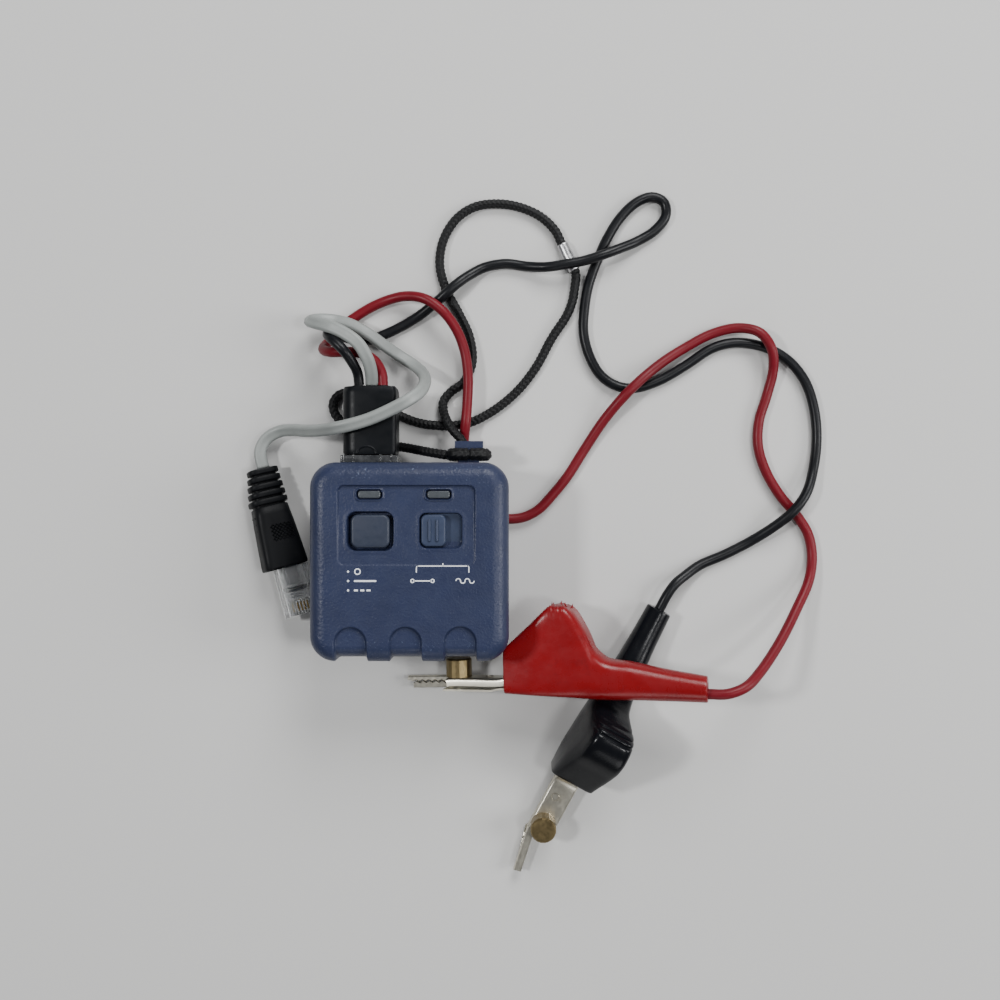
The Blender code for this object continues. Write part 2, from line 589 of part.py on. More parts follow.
def power_button():
    cap = plan_box(BUTTON_CENTRE, BUTTON_CAP, 0.0305, CASE_TOP, corner=0.0020, top=0.0004, steps=3)
    flange = plan_box(BUTTON_CENTRE, (0.0146, 0.0124), 0.0299, CASE_TOP - WALL - GAP, corner=0.0020, steps=2)
    join(cap, flange)
    name_part(cap, "power_button", paint((0.065, 0.080, 0.110), 0.5))
    plunger = rod(0.0017, BOARD_TOP + 0.0031, 0.0296, BUTTON_CENTRE, sides=12)
    name_part(plunger, "tact_plunger", black_plastic())


def slide_knob():
    x, y = KNOB_CENTRE
    cap = plan_box(KNOB_CENTRE, KNOB_CAP, 0.0305, CASE_TOP - 0.0002, corner=0.0008, steps=2)
    flange = plan_box((x + 0.0003, y), (0.0172, 0.0120), 0.0302, CASE_TOP - WALL - GAP)
    join(cap, flange)
    for offset in (-0.0013, 0.0011):
        join(cap, plan_box((x + offset, y), (0.0010, 0.0062), 0.0330, CASE_TOP + 0.0006))
    name_part(cap, "slide_knob", case_blue())
    actuator = plan_box((x, y), (0.0022, 0.0014), BOARD_TOP + GAP + 0.0021, 0.0299)
    name_part(actuator, "slide_actuator", black_plastic())


# ---------------------------------------------------------------- lead block and lanyard
def lead_block():
    low, high = BLOCK_LOW, BLOCK_HIGH
    body = span(low, high, corner=0.0012, top=0.0010, steps=2)
    join(body, span((-0.0185, 0.0260, 0.0086), (-0.0077, low[1] + 0.002, 0.0138)))
    name_part(body, "lead_block", black_plastic())
    collar = span((low[0] - 0.0011, 0.0293, low[2] - 0.0004), (high[0] + 0.0006, low[1] - GAP, high[2] + 0.0002))
    cut(collar, span((-0.0189, 0.0280, 0.0082), (-0.0073, 0.0330, 0.0142)))
    name_part(collar, "lead_block_collar", paint((0.05, 0.05, 0.06), 0.2))


def lanyard_hitch():
    """The lanyard's turn round the post: a rounded loop in the XZ plane."""
    x, z = POST_CENTRE
    across, up, bend = 0.0053, 0.0041, 0.0022
    points = []
    for corner_x, corner_z, start in ((1, 1, 0), (-1, 1, 90), (-1, -1, 180), (1, -1, 270)):
        for step in range(4):
            angle = math.radians(start + 30 * step)
            points.append((
                x + corner_x * (across - bend) + bend * math.cos(angle),
                0.0318,
                z + corner_z * (up - bend) + bend * math.sin(angle),
            ))
    name_part(tube(points, 0.00165, closed=True), "lanyard_hitch", braid())


def lanyard_ferrule():
    """The sleeve that joins the lanyard's ends, lying between the two strands."""
    start = Vector(LANYARD_ROUTE_A[-1])
    end = Vector(LANYARD_ROUTE_B[0])
    way = (end - start).normalized()
    first = start + way * 3 * GAP
    last = end - way * 3 * GAP
    name_part(tube((first, last), 0.0013, resolution=4), "lanyard_ferrule", nickel_steel())


def lying(points, radius):
    """The same points, none lower than a cord of this radius lies on the floor."""
    return [Vector((p.x, p.y, max(p.z, radius + 0.00002))) for p in points]


def cords():
    for name, route, radius, surface in (
        ("red_lead", RED_ROUTE, LEAD_RADIUS, red_pvc()),
        ("black_lead", BLACK_ROUTE, LEAD_RADIUS, black_pvc()),
        ("grey_lead", GREY_ROUTE, FLAT_LEAD_RADIUS, paint((0.26, 0.28, 0.28), 0.5)),
        ("lanyard_a", LANYARD_ROUTE_A, LANYARD_RADIUS, braid()),
        ("lanyard_b", LANYARD_ROUTE_B, LANYARD_RADIUS, braid()),
    ):
        points = lying(smooth_points(route, 2 * radius * CORD_STEP), radius)
        name_part(tube(points, radius), name, surface)


# ---------------------------------------------------------------- modular plug
def plug_frame():
    """The plug's axes: x across, y from its underside to its contact side, z towards its tip."""
    across = PLUG_WAY.cross(Vector((0.0, 0.0, 1.0))).normalized()
    up = across.cross(PLUG_WAY)
    roll = Matrix.Rotation(-PLUG_ROLL, 3, PLUG_WAY)
    axes = Matrix((roll @ -across, roll @ up, PLUG_WAY)).transposed().to_4x4()
    return Matrix.Translation(PLUG_TOP) @ axes


def plug_boot():
    """The boot, whose latch guard widens it on one side: height along it, side shift, half sizes and squareness."""
    rings = []
    for index in range(5):
        base = 0.0024 * index
        shift, wide, tall = -0.0006 - 0.0002 * index, 0.0041 + 0.00032 * index, 0.0034 + 0.00022 * index
        for z, inset in ((base, 0.0), (base + 0.0016, 0.0), (base + 0.0017, 0.0007), (base + 0.0023, 0.0007)):
            rings.append((z, shift, wide - inset, tall - inset, 2.8))
    rings += [(0.0121, -0.0014, 0.0056, 0.0043, 3.6), (0.0200, -0.0014, 0.0062, 0.0044, 4.0),
              (0.0260, -0.0014, 0.0066, 0.0045, 4.2), (PLUG_BOOT_LENGTH, -0.0014, 0.0069, 0.0045, 4.5)]
    return loft([[(x + shift, y, z) for x, y in rounded_ring(a, b, n)] for z, shift, a, b, n in rings])


def plug():
    carrier = pivot_empty("plug", plug_frame())
    name_part(plug_boot(), "plug_boot", black_pvc(), carrier)
    base = PLUG_BOOT_LENGTH + GAP
    body = span((-0.00483, -0.0033, base), (0.00483, 0.0033, PLUG_TIP))
    recess_low = PLUG_TIP - 0.0042
    cut(body, span((-0.0024, 0.0006, recess_low), (0.0024, 0.0050, PLUG_TIP - 0.0008)))
    name_part(body, "plug_body", clear_plastic(), carrier)
    for number in range(4):
        x = (number - 1.5) * 0.00102
        blade = span((x - 0.0002, 0.0010, recess_low + GAP), (x + 0.0002, 0.0029, PLUG_TIP - 0.0012))
        name_part(blade, f"plug_contact_{number + 1}", paint((0.55, 0.40, 0.15), 0.3, 1.0), carrier)
    hinge_place = Vector((0.0, -0.0041, PLUG_TIP - 0.0008))
    hinge = pivot_empty("plug_latch_pivot", plug_frame() @ Matrix.Translation(hinge_place))
    latch = prism(
        [(0.0, 0.0004), (-0.0003, 0.0004), (-0.0115, -0.0007), (-0.0115, -0.0016), (0.0, -0.0005)],
        -0.0016, 0.0016, Matrix.Rotation(-math.pi / 2, 4, "Y"),
    )
    name_part(latch, "plug_latch", clear_plastic(), hinge)


# ---------------------------------------------------------------- test clips
def clip_frame(nose, yaw, rise, hump_up):
    """Matrix of a clip's axes, whose origin is its pivot."""
    way = Vector((math.cos(yaw) * math.cos(rise), math.sin(yaw) * math.cos(rise), math.sin(rise)))
    if hump_up:
        hump = Vector((-math.cos(yaw) * math.sin(rise), -math.sin(yaw) * math.sin(rise), math.cos(rise)))
    else:
        hump = Vector((-math.sin(yaw), math.cos(yaw), 0.0))
    axes = Matrix((way, hump, way.cross(hump))).transposed().to_4x4()
    return Matrix.Translation(nose) @ axes @ Matrix.Translation((*CLIP_PIVOT, 0.0))


def from_nose(points):
    """Outline points measured from the clip's nose, given from its pivot."""
    return [(x - CLIP_PIVOT[0], y - CLIP_PIVOT[1]) for x, y in points]


def strip(path, thickness=SHEET):
    """Outline of a bent sheet whose middle follows a path."""
    left, right = [], []
    for i, (x, y) in enumerate(path):
        before = Vector(path[max(i - 1, 0)])
        after = Vector(path[min(i + 1, len(path) - 1)])
        normal = (after - before).normalized().orthogonal() * (thickness / 2)
        left.append((x + normal.x, y + normal.y))
        right.append((x - normal.x, y - normal.y))
    return left + right[::-1]


def clip_plate(outline, low, high):
    return prism(from_nose(outline), low, high)


def clip_nose(base, tooth_line, edge_line, low_side):
    """The narrow toothed end of a jaw, angled inwards in plan."""
    pitch = 0.0020
    depth = 0.0006 if tooth_line < edge_line else -0.0006
    outline = [(-0.0110, edge_line), (-0.0110, tooth_line + depth)]
    for i in range(5):
        outline.append((-0.0110 + pitch * (i + 0.5), tooth_line))
        outline.append((-0.0110 + pitch * (i + 1), tooth_line + depth))
    outline += [(0.0015, tooth_line + depth), (0.0015, edge_line)]
    moved = [(x, y - CLIP_PIVOT[1]) for x, y in outline]
    frame = Matrix.Translation((base - CLIP_PIVOT[0], 0.0, low_side)) @ Matrix.Rotation(math.radians(14.5), 4, "Y")
    return prism(moved, 0.0, 0.0021, frame)


def ears(inner, outer, low, high):
    """The two lugs of a jaw that the pin goes through."""
    pair = []
    for near, far in ((inner, outer), (-outer, -inner)):
        pair.append(clip_plate([(0.0315, low), (0.0385, low), (0.0385, high), (0.0315, high)], near, far))
    return pair


def upper_jaw():
    web = [(0.0112, 0.0058), (0.0132, 0.0056), (0.0265, 0.0056), (0.0305, 0.0090), (0.0385, 0.0102), (0.0455, 0.0230)]
    jaw = clip_plate(strip(web), -0.0041, 0.0041)
    join(jaw, clip_nose(0.0110, 0.0047, 0.0060, -0.0041))
    join(jaw, clip_plate([(0.0132, 0.0029), (0.0272, 0.0029), (0.0272, 0.0056), (0.0132, 0.0056)], -0.0040, -0.0034))
    join(jaw, *ears(0.0035, 0.00405, 0.0034, 0.0099))
    cut(jaw, clip_hole(0.0015, 0.02))
    bed = rod(0.0033, -0.002, 0.003, sides=16)
    bed.matrix_world = bed_frame() @ bed.matrix_basis
    cut(jaw, bed)
    return jaw


def lower_jaw():
    web = [(0.0112, 0.0023), (0.0265, 0.0023), (0.0295, 0.0029), (0.0500, 0.0029)]
    jaw = clip_plate(strip(web), -0.0032, 0.0032)
    join(jaw, clip_nose(0.0110, 0.0044, 0.0025, -0.0041))
    join(jaw, *ears(0.0026, 0.00315, 0.0030, 0.0080))
    cut(jaw, clip_hole(0.0015, 0.02))
    return jaw


def clip_hole(radius, depth):
    """A cylinder along the pivot's axis."""
    return rod(radius, -depth / 2, depth / 2, sides=16)


def bed_frame():
    """Axes of the bed of nails: z towards the hump."""
    place = Matrix.Translation((0.0157 - CLIP_PIVOT[0], 0.0059 - CLIP_PIVOT[1], 0.0))
    return place @ Matrix.Rotation(-math.pi / 2, 4, "X")


def nail_cup():
    cup = turned([(0.0, 0.0061), (0.0036, 0.0061), (0.0040, 0.0056), (0.0040, 0.0003), (0.0035, 0.0003),
                  (0.0035, 0.0054), (0.0, 0.0054)])
    cup.matrix_world = bed_frame()
    return cup


def nail_bed():
    bed = turned([(0.0, 0.0050), (0.0030, 0.0050), (0.0030, 0.0042), (0.0, 0.0042)], steps=16)
    bed.matrix_world = bed_frame()
    for x, z in ((0.0, 0.0), (0.0018, 0.0), (-0.0018, 0.0), (0.0, 0.0018), (0.0, -0.0018)):
        nail = turned([(0.0, 0.0046), (0.0004, 0.0046), (0.0004, -0.0012), (0.0, -0.0026)], steps=6)
        nail.matrix_world = bed_frame() @ Matrix.Translation((x, z, 0.0))
        join(bed, nail)
    return bed


def pivot_pin():
    return turned([(0.0, 0.0049), (0.0019, 0.0049), (0.0019, 0.0044), (0.0012, 0.0044), (0.0012, -0.0044),
                   (0.0019, -0.0044), (0.0019, -0.0049), (0.0, -0.0049)], steps=16)


def clip_spring():
    """A torsion spring: three turns round the pin, one arm to the lever and one to the lower jaw."""
    radius, turns, per_turn = 0.0018, 3, 10
    points = [(0.0435 - CLIP_PIVOT[0], 0.0165 - CLIP_PIVOT[1], -0.0019)]
    for i in range(turns * per_turn + 3):
        angle = math.radians(-35) + math.tau * i / per_turn
        points.append((radius * math.cos(angle), radius * math.sin(angle), -0.0019 + 0.0038 * i / (turns * per_turn + 2)))
    points.append((0.0455 - CLIP_PIVOT[0], 0.0040 - CLIP_PIVOT[1], 0.0019))
    return tube(points, 0.00035)


def wire_crimp():
    """The barrel that grips the lead's end."""
    barrel = rod(0.0027, 0.0515, 0.0560, sides=16)
    bore = rod(0.0022, 0.0500, 0.0575, sides=16)
    place = Matrix.Translation((-CLIP_PIVOT[0], CRIMP_HEIGHT - CLIP_PIVOT[1], 0.0))
    for item in (barrel, bore):
        item.matrix_world = place @ Matrix.Rotation(math.pi / 2, 4, "Y") @ item.matrix_basis
    cut(barrel, bore)
    return barrel


def boot_ring(station, wall, count=16):
    """One section of the boot, or of its hollow when a wall is given."""
    along, low, high, half_width, squareness = station
    middle = (low + high) / 2
    points = rounded_ring(half_width - wall, (high - low) / 2 - wall, squareness, count)
    return [(along - CLIP_PIVOT[0], middle + y - CLIP_PIVOT[1], x) for x, y in points]


def clip_boot():
    boot = loft([boot_ring(station, 0.0) for station in BOOT_STATIONS])
    wall = 0.0010
    hollow = [station for station in BOOT_STATIONS if station[0] < 0.0700]
    rings = [boot_ring(station, wall) for station in hollow]
    mouth = [(x - 0.001, y, z) for x, y, z in rings[0]]
    cut(boot, loft([mouth] + rings))
    place = Matrix.Translation((-CLIP_PIVOT[0], CLIP_AXIS_HEIGHT - CLIP_PIVOT[1], 0.0))
    bore = rod(0.0021, 0.0580, 0.0940, sides=16)
    bore.matrix_world = place @ Matrix.Rotation(math.pi / 2, 4, "Y") @ bore.matrix_basis
    cut(boot, bore)
    return boot


def clip(color, frame, boot_surface):
    carrier = pivot_empty(f"{color}_clip", frame)
    name_part(clip_boot(), f"{color}_boot", boot_surface(), carrier)
    name_part(upper_jaw(), f"{color}_upper_jaw", nickel_steel(), carrier)
    name_part(lower_jaw(), f"{color}_lower_jaw", nickel_steel(), carrier)
    name_part(pivot_pin(), f"{color}_pivot_pin", nickel_steel(), carrier)
    name_part(clip_spring(), f"{color}_spring", nickel_steel(), carrier)
    name_part(nail_cup(), f"{color}_nail_cup", aged_brass(), carrier)
    name_part(nail_bed(), f"{color}_nail_bed", nickel_steel(), carrier)
    name_part(wire_crimp(), f"{color}_wire_crimp", aged_brass(), carrier)


def clips():
    red = clip_frame(RED_CLIP_NOSE, RED_CLIP_YAW, RED_CLIP_RISE, False)
    black = clip_frame(BLACK_CLIP_NOSE, BLACK_CLIP_YAW, BLACK_CLIP_RISE, True)
    clip("red", red, red_pvc)
    clip("black", black, black_pvc)


def main():
    start()
    front_cover()
    rear_cover()
    battery_door()
    screws()
    battery_parts()
    board_parts()
    led_windows()
    power_button()
    slide_knob()
    lead_block()
    lanyard_hitch()
    lanyard_ferrule()
    cords()
    plug()
    clips()
    bpy.context.view_layer.update()


main()
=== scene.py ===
"""Looks of a pocket tone generator with its leads, clips, plug and lanyard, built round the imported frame.

The frame's own axes, +Z up. Cord routes are in metres. Shapes that are merged, or placed by a matrix, are
drawn in millimetres.
"""

import math
import random

import bmesh
import bpy
from mathutils import Matrix, Vector


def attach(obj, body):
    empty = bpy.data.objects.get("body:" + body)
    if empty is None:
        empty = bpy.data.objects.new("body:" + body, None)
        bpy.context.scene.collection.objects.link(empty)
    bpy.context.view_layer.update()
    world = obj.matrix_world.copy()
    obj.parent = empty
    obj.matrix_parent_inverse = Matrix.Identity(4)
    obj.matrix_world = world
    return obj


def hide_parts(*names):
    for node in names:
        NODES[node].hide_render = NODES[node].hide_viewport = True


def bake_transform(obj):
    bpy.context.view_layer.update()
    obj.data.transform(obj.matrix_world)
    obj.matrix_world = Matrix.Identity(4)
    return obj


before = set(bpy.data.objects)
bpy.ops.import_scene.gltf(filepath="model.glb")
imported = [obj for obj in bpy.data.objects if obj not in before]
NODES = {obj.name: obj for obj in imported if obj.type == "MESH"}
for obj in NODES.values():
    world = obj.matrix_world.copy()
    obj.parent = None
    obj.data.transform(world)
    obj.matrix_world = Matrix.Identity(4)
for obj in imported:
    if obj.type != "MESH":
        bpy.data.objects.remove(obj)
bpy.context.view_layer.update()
ROOT = "case"
MM = 0.001
TO_METRES = Matrix.Scale(MM, 4)
RIGHT = Vector((1.0, 0.0, 0.0))
AWAY = Vector((0.0, 1.0, 0.0))
UP = Vector((0.0, 0.0, 1.0))
CLEAR = 0.02 * MM


# ---------------------------------------------------------------- shader helpers
class Finish:
    """A material whose colour, roughness and relief come from textures in the piece's own space."""

    def __init__(self, name, **sockets):
        self.material = bpy.data.materials.new(name)
        self.material.use_nodes = True
        self.nodes = self.material.node_tree.nodes
        self.links = self.material.node_tree.links
        self.shader = self.nodes["Principled BSDF"]
        self.place = self.nodes.new("ShaderNodeTexCoord").outputs["Object"]
        self.normal = None
        for socket, value in sockets.items():
            self.shader.inputs[socket.replace("_", " ").title().replace("Ior", "IOR")].default_value = value

    def add(self, kind, **values):
        node = self.nodes.new(kind)
        for name, value in values.items():
            setattr(node, name, value)
        return node

    def stretched(self, scale):
        """Texture coordinates that are stretched by a scale on each axis."""
        mapping = self.add("ShaderNodeMapping")
        mapping.inputs["Scale"].default_value = scale
        self.links.new(self.place, mapping.inputs["Vector"])
        return mapping.outputs["Vector"]

    def noise(self, scale, detail=3.0, roughness=0.5, vector=None):
        node = self.add("ShaderNodeTexNoise")
        node.inputs["Scale"].default_value = scale
        node.inputs["Detail"].default_value = detail
        node.inputs["Roughness"].default_value = roughness
        self.links.new(vector or self.place, node.inputs["Vector"])
        return node.outputs["Fac"]

    def ramp(self, factor, stops):
        """Colours or greys along a factor."""
        node = self.add("ShaderNodeValToRGB")
        elements = node.color_ramp.elements
        while len(elements) < len(stops):
            elements.new(0.5)
        for element, (position, value) in zip(elements, stops):
            element.position = position
            element.color = (value, value, value, 1.0) if isinstance(value, float) else (*value, 1.0)
        self.links.new(factor, node.inputs["Fac"])
        return node.outputs["Color"]

    def cover(self, share, color):
        """Lays another colour over the base colour, as far as a share says."""
        base = self.shader.inputs["Base Color"]
        node = self.add("ShaderNodeMix", data_type="RGBA")
        self.links.new(share, node.inputs[0])
        self.links.new(base.links[0].from_socket, node.inputs[6])
        node.inputs[7].default_value = (*color, 1.0)
        self.links.new(node.outputs[2], base)

    def math(self, operation, *operands):
        node = self.add("ShaderNodeMath", operation=operation)
        for operand, socket in zip(operands, node.inputs):
            self.links.new(operand, socket)
        return node.outputs[0]

    def axis(self, letter):
        """One coordinate of the piece's own space, in metres."""
        node = self.add("ShaderNodeSeparateXYZ")
        self.links.new(self.place, node.inputs[0])
        return node.outputs[letter]

    def colour(self, socket):
        self.links.new(socket, self.shader.inputs["Base Color"])

    def rough(self, factor, low, high):
        self.links.new(self.ramp(factor, [(0.3, low), (0.7, high)]), self.shader.inputs["Roughness"])

    def relief(self, height, depth, strength=1.0):
        """Another layer of bump, depth metres from its lowest to its highest."""
        node = self.add("ShaderNodeBump")
        node.inputs["Strength"].default_value = strength
        node.inputs["Distance"].default_value = depth
        self.links.new(height, node.inputs["Height"])
        if self.normal:
            self.links.new(self.normal, node.inputs["Normal"])
        self.normal = node.outputs["Normal"]
        self.links.new(self.normal, self.shader.inputs["Normal"])


def shade(color, factor):
    return tuple(c * factor for c in color)


def mottled(name, color, low, high, spread=0.14, patch=160.0, grain=4200.0, depth=0.012 * MM, **sockets):
    """The general plastic: a colour that drifts a little, uneven gloss and a fine skin."""
    finish = Finish(name, **sockets)
    drift = finish.noise(patch, 4.0, 0.6)
    finish.colour(finish.ramp(drift, [(0.3, shade(color, 1 - spread)), (0.7, shade(color, 1 + spread))]))
    finish.rough(finish.noise(patch * 3, 4.0, 0.6), low, high)
    finish.relief(finish.noise(grain, 2.0, 0.5), depth)
    return finish


def case_finish():
    """Slate blue plastic with a fine spark-eroded texture, a little chalky where it is handled."""
    blue = (0.0178, 0.0243, 0.058)
    finish = mottled("case_plastic", blue, 0.34, 0.46, 0.10, 90.0, 1350.0, 0.13 * MM, specular_ior_level=0.30)
    specks = finish.ramp(finish.noise(1500.0, 3.0, 0.7), [(0.62, 0.0), (0.68, 1.0)])
    worn = finish.ramp(finish.noise(110.0, 3.0, 0.6), [(0.47, 0.0), (0.62, 0.75)])
    edge = finish.math("ABSOLUTE", finish.axis("Y"))
    rim = finish.ramp(edge, [(0.0205, 0.0), (0.0275, 1.0)])
    chalk = finish.math("MULTIPLY", finish.math("MULTIPLY", specks, worn), rim)
    finish.cover(chalk, (0.20, 0.25, 0.36))
    return finish.material


def control_finish(name, color):
    """Smooth plastic for the button and the knob."""
    finish = mottled(name, color, 0.34, 0.50, 0.08, 220.0, 3000.0, 0.010 * MM, specular_ior_level=0.30)
    return finish.material


def pvc(name, color, low, high, scuff, **sockets):
    """Flexible PVC with faint smears and scuffs."""
    finish = mottled(name, color, low, high, 0.10, 70.0, 1800.0, 0.012 * MM, **sockets)
    finish.cover(finish.ramp(finish.noise(240.0, 5.0, 0.7), [(0.56, 0.0), (0.72, 0.5)]), scuff)
    finish.relief(finish.noise(300.0, 3.0, 0.5), 0.05 * MM, 0.6)
    return finish.material


def braid_finish():
    """Black fibre with a slight sheen."""
    finish = Finish("braided_cord", sheen_weight=0.04, sheen_roughness=0.4, specular_ior_level=0.26)
    finish.shader.inputs["Sheen Tint"].default_value = (0.5, 0.55, 0.65, 1.0)
    fibre = finish.noise(5200.0, 2.0, 0.6)
    finish.colour(finish.ramp(fibre, [(0.35, (0.0010, 0.0010, 0.0014)), (0.7, (0.0042, 0.0046, 0.0054))]))
    finish.rough(fibre, 0.40, 0.62)
    finish.relief(fibre, 0.04 * MM)
    return finish.material


def metal(name, color, low, high, stain, stain_share):
    """Plated or bare metal with tarnish, fine scratches and handling marks."""
    finish = Finish(name, metallic=1.0)
    drift = finish.noise(230.0, 4.0, 0.5)
    clean = finish.noise(150.0, 3.0, 0.5)
    finish.colour(finish.ramp(clean, [(0.3, shade(color, 0.88)), (0.7, shade(color, 1.10))]))
    finish.cover(finish.ramp(drift, [(0.62 - stain_share, 0.0), (0.84 - stain_share * 0.6, 0.60)]), stain)
    finish.rough(finish.noise(900.0, 4.0, 0.6), low, high)
    finish.relief(finish.noise(2600.0, 3.0, 0.6, finish.stretched((1.0, 0.25, 1.0))), 0.003 * MM)
    return finish.material


def clear_finish():
    """Clear moulded plastic with faint flow marks."""
    clear = (0.93, 0.94, 0.94)
    finish = Finish("clear_plastic", transmission_weight=0.92, ior=1.49)
    finish.colour(finish.ramp(finish.noise(260.0), [(0.3, shade(clear, 0.93)), (0.7, clear)]))
    finish.rough(finish.noise(500.0), 0.05, 0.17)
    finish.relief(finish.noise(900.0, 2.0), 0.02 * MM, 0.6)
    return finish.material


def print_finish():
    """White ink, a little worn."""
    finish = Finish("white_ink")
    ink = finish.noise(2600.0, 3.0, 0.6)
    finish.colour(finish.ramp(ink, [(0.30, (0.50, 0.53, 0.58)), (0.46, (0.78, 0.80, 0.83))]))
    finish.rough(ink, 0.45, 0.6)
    return finish.material


# ---------------------------------------------------------------- mesh helpers
def flow(low, high, value):
    """Smooth step from 0 at low to 1 at high."""
    t = min(max((value - low) / (high - low), 0.0), 1.0)
    return t * t * (3 - 2 * t)


def put(item):
    """Links an object to the scene."""
    bpy.context.scene.collection.objects.link(item)
    return item


def add_piece(name, data, surface, body=ROOT, replaces=(), bend=None):
    """A finished piece, which rides on a body, or, when bend points are given, has its transform baked into
    its mesh and rides on no body.
    """
    data.name = name
    data.materials.append(surface)
    item = put(bpy.data.objects.new(name, data))
    if bend:
        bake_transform(item)
    else:
        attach(item, body)
    if replaces:
        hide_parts(*replaces)
    return item


def dress(surface, *nodes):
    """Give carried-over solids their finish."""
    for node in nodes:
        NODES[node].data.materials.clear()
        NODES[node].data.materials.append(surface)


def mesh_of(points, faces, sharp=None):
    """A smooth mesh, with edges sharper than an angle left crisp."""
    mesh = bpy.data.meshes.new("mesh")
    mesh.from_pydata([tuple(p) for p in points], [], faces)
    mesh.validate()
    shape = bmesh.new()
    shape.from_mesh(mesh)
    bmesh.ops.remove_doubles(shape, verts=shape.verts, dist=1e-7)
    bmesh.ops.recalc_face_normals(shape, faces=shape.faces)
    shape.to_mesh(mesh)
    shape.free()
    mesh.shade_smooth()
    if sharp:
        mesh.set_sharp_from_angle(angle=math.radians(sharp))
    return mesh


def skin(rings, sharp=None, capped=True):
    """A mesh through rings of points that all have one count."""
    count = len(rings[0])
    points = [p for ring in rings for p in ring]
    faces = []
    for r in range(len(rings) - 1):
        for i in range(count):
            j = (i + 1) % count
            faces.append((r * count + i, r * count + j, (r + 1) * count + j, (r + 1) * count + i))
    if capped:
        faces.append(tuple(reversed(range(count))))
        faces.append(tuple((len(rings) - 1) * count + i for i in range(count)))
    return mesh_of(points, faces, sharp)


def soft_block(low, high, corner, edge):
    """A box with rounded upright corners and a rounded top edge."""
    shape = bmesh.new()
    bmesh.ops.create_cube(shape, size=1.0)
    size = [b - a for a, b in zip(low, high)]
    bmesh.ops.scale(shape, vec=size, verts=shape.verts)
    half = size[2] / 2
    upright = [e for e in shape.edges if abs(e.verts[0].co.z - e.verts[1].co.z) > half]
    if corner:
        bmesh.ops.bevel(shape, geom=upright, offset=corner, segments=8, profile=0.5, affect="EDGES")
    if edge:
        rim = [e for e in shape.edges if all(abs(v.co.z - half) < 1e-7 for v in e.verts)]
        bmesh.ops.bevel(shape, geom=rim, offset=edge, segments=5, profile=0.5, affect="EDGES")
    bmesh.ops.translate(shape, vec=[(a + b) / 2 for a, b in zip(low, high)], verts=shape.verts)
    bmesh.ops.recalc_face_normals(shape, faces=shape.faces)
    mesh = bpy.data.meshes.new("block")
    shape.to_mesh(mesh)
    shape.free()
    mesh.shade_smooth()
    mesh.set_sharp_from_angle(angle=math.radians(40))
    return mesh


def merged(meshes, sharp=40, place=TO_METRES):
    """Several closed meshes as one piece's mesh, drawn in millimetres unless a place says otherwise."""
    shape = bmesh.new()
    for mesh in meshes:
        shape.from_mesh(mesh)
    result = bpy.data.meshes.new("parts")
    shape.to_mesh(result)
    shape.free()
    result.shade_smooth()
    result.set_sharp_from_angle(angle=math.radians(sharp))
    result.transform(place)
    return result


def circle(centre, side, up, radius, count):
    """Points round a centre, in the plane of two directions."""
    angles = [math.tau * k / count for k in range(count)]
    return [centre + (side * math.cos(a) + up * math.sin(a)) * radius for a in angles]


def squircle(wide, tall, square, count):
    """Points of an oval that is the more like a rectangle the higher its exponent."""
    points = []
    for i in range(count):
        angle = math.tau * (i + 0.5) / count
        c, s = math.cos(angle), math.sin(angle)
        points.append((
            wide * math.copysign(abs(c) ** (2 / square), c), tall * math.copysign(abs(s) ** (2 / square), s),
        ))
    return points


def rounded_gap(x, y, centre, half, corner):
    """Signed distance from a rounded rectangle, in the same unit as its sizes."""
    dx = abs(x - centre[0]) - half[0] + corner
    dy = abs(y - centre[1]) - half[1] + corner
    outside = math.hypot(max(dx, 0.0), max(dy, 0.0))
    return outside + min(max(dx, dy), 0.0) - corner


def smooth_route(route, spacing):
    """Evenly spaced points on the smooth curve through a route."""
    knots = [Vector(p) for p in route]
    knots = [2 * knots[0] - knots[1], *knots, 2 * knots[-1] - knots[-2]]
    fine = []
    for a, b, c, d in zip(knots, knots[1:], knots[2:], knots[3:]):
        ta = 0.0
        tb = ta + (b - a).length ** 0.5
        tc = tb + (c - b).length ** 0.5
        td = tc + (d - c).length ** 0.5
        for i in range(16):
            t = tb + (tc - tb) * i / 16
            ab = a.lerp(b, (t - ta) / (tb - ta))
            bc = b.lerp(c, (t - tb) / (tc - tb))
            cd = c.lerp(d, (t - tc) / (td - tc))
            abc = ab.lerp(bc, (t - ta) / (tc - ta))
            bcd = bc.lerp(cd, (t - tb) / (td - tb))
            fine.append(abc.lerp(bcd, (t - tb) / (tc - tb)))
    fine.append(knots[-2])
    lengths = [0.0]
    for first, second in zip(fine, fine[1:]):
        lengths.append(lengths[-1] + (second - first).length)
    count = max(round(lengths[-1] / spacing), 2)
    points = []
    index = 0
    for k in range(count + 1):
        target = lengths[-1] * k / count
        while index < len(fine) - 2 and lengths[index + 1] < target:
            index += 1
        share = (target - lengths[index]) / (lengths[index + 1] - lengths[index])
        points.append(fine[index].lerp(fine[index + 1], min(share, 1.0)))
    return points


def lying(points, radius):
    """The same points, none lower than a cord of this radius lies on the floor."""
    return [Vector((p.x, p.y, max(p.z, radius + CLEAR))) for p in points]


def travelling_frames(points, up):
    """Tangent, side and normal at each point, with as little twist as the route allows."""
    tangents = []
    for i in range(len(points)):
        way = points[min(i + 1, len(points) - 1)] - points[max(i - 1, 0)]
        tangents.append(way.normalized())
    normal = up
    frames = []
    for tangent in tangents:
        normal = (normal - tangent * normal.dot(tangent)).normalized()
        frames.append((tangent, tangent.cross(normal), normal))
    return frames


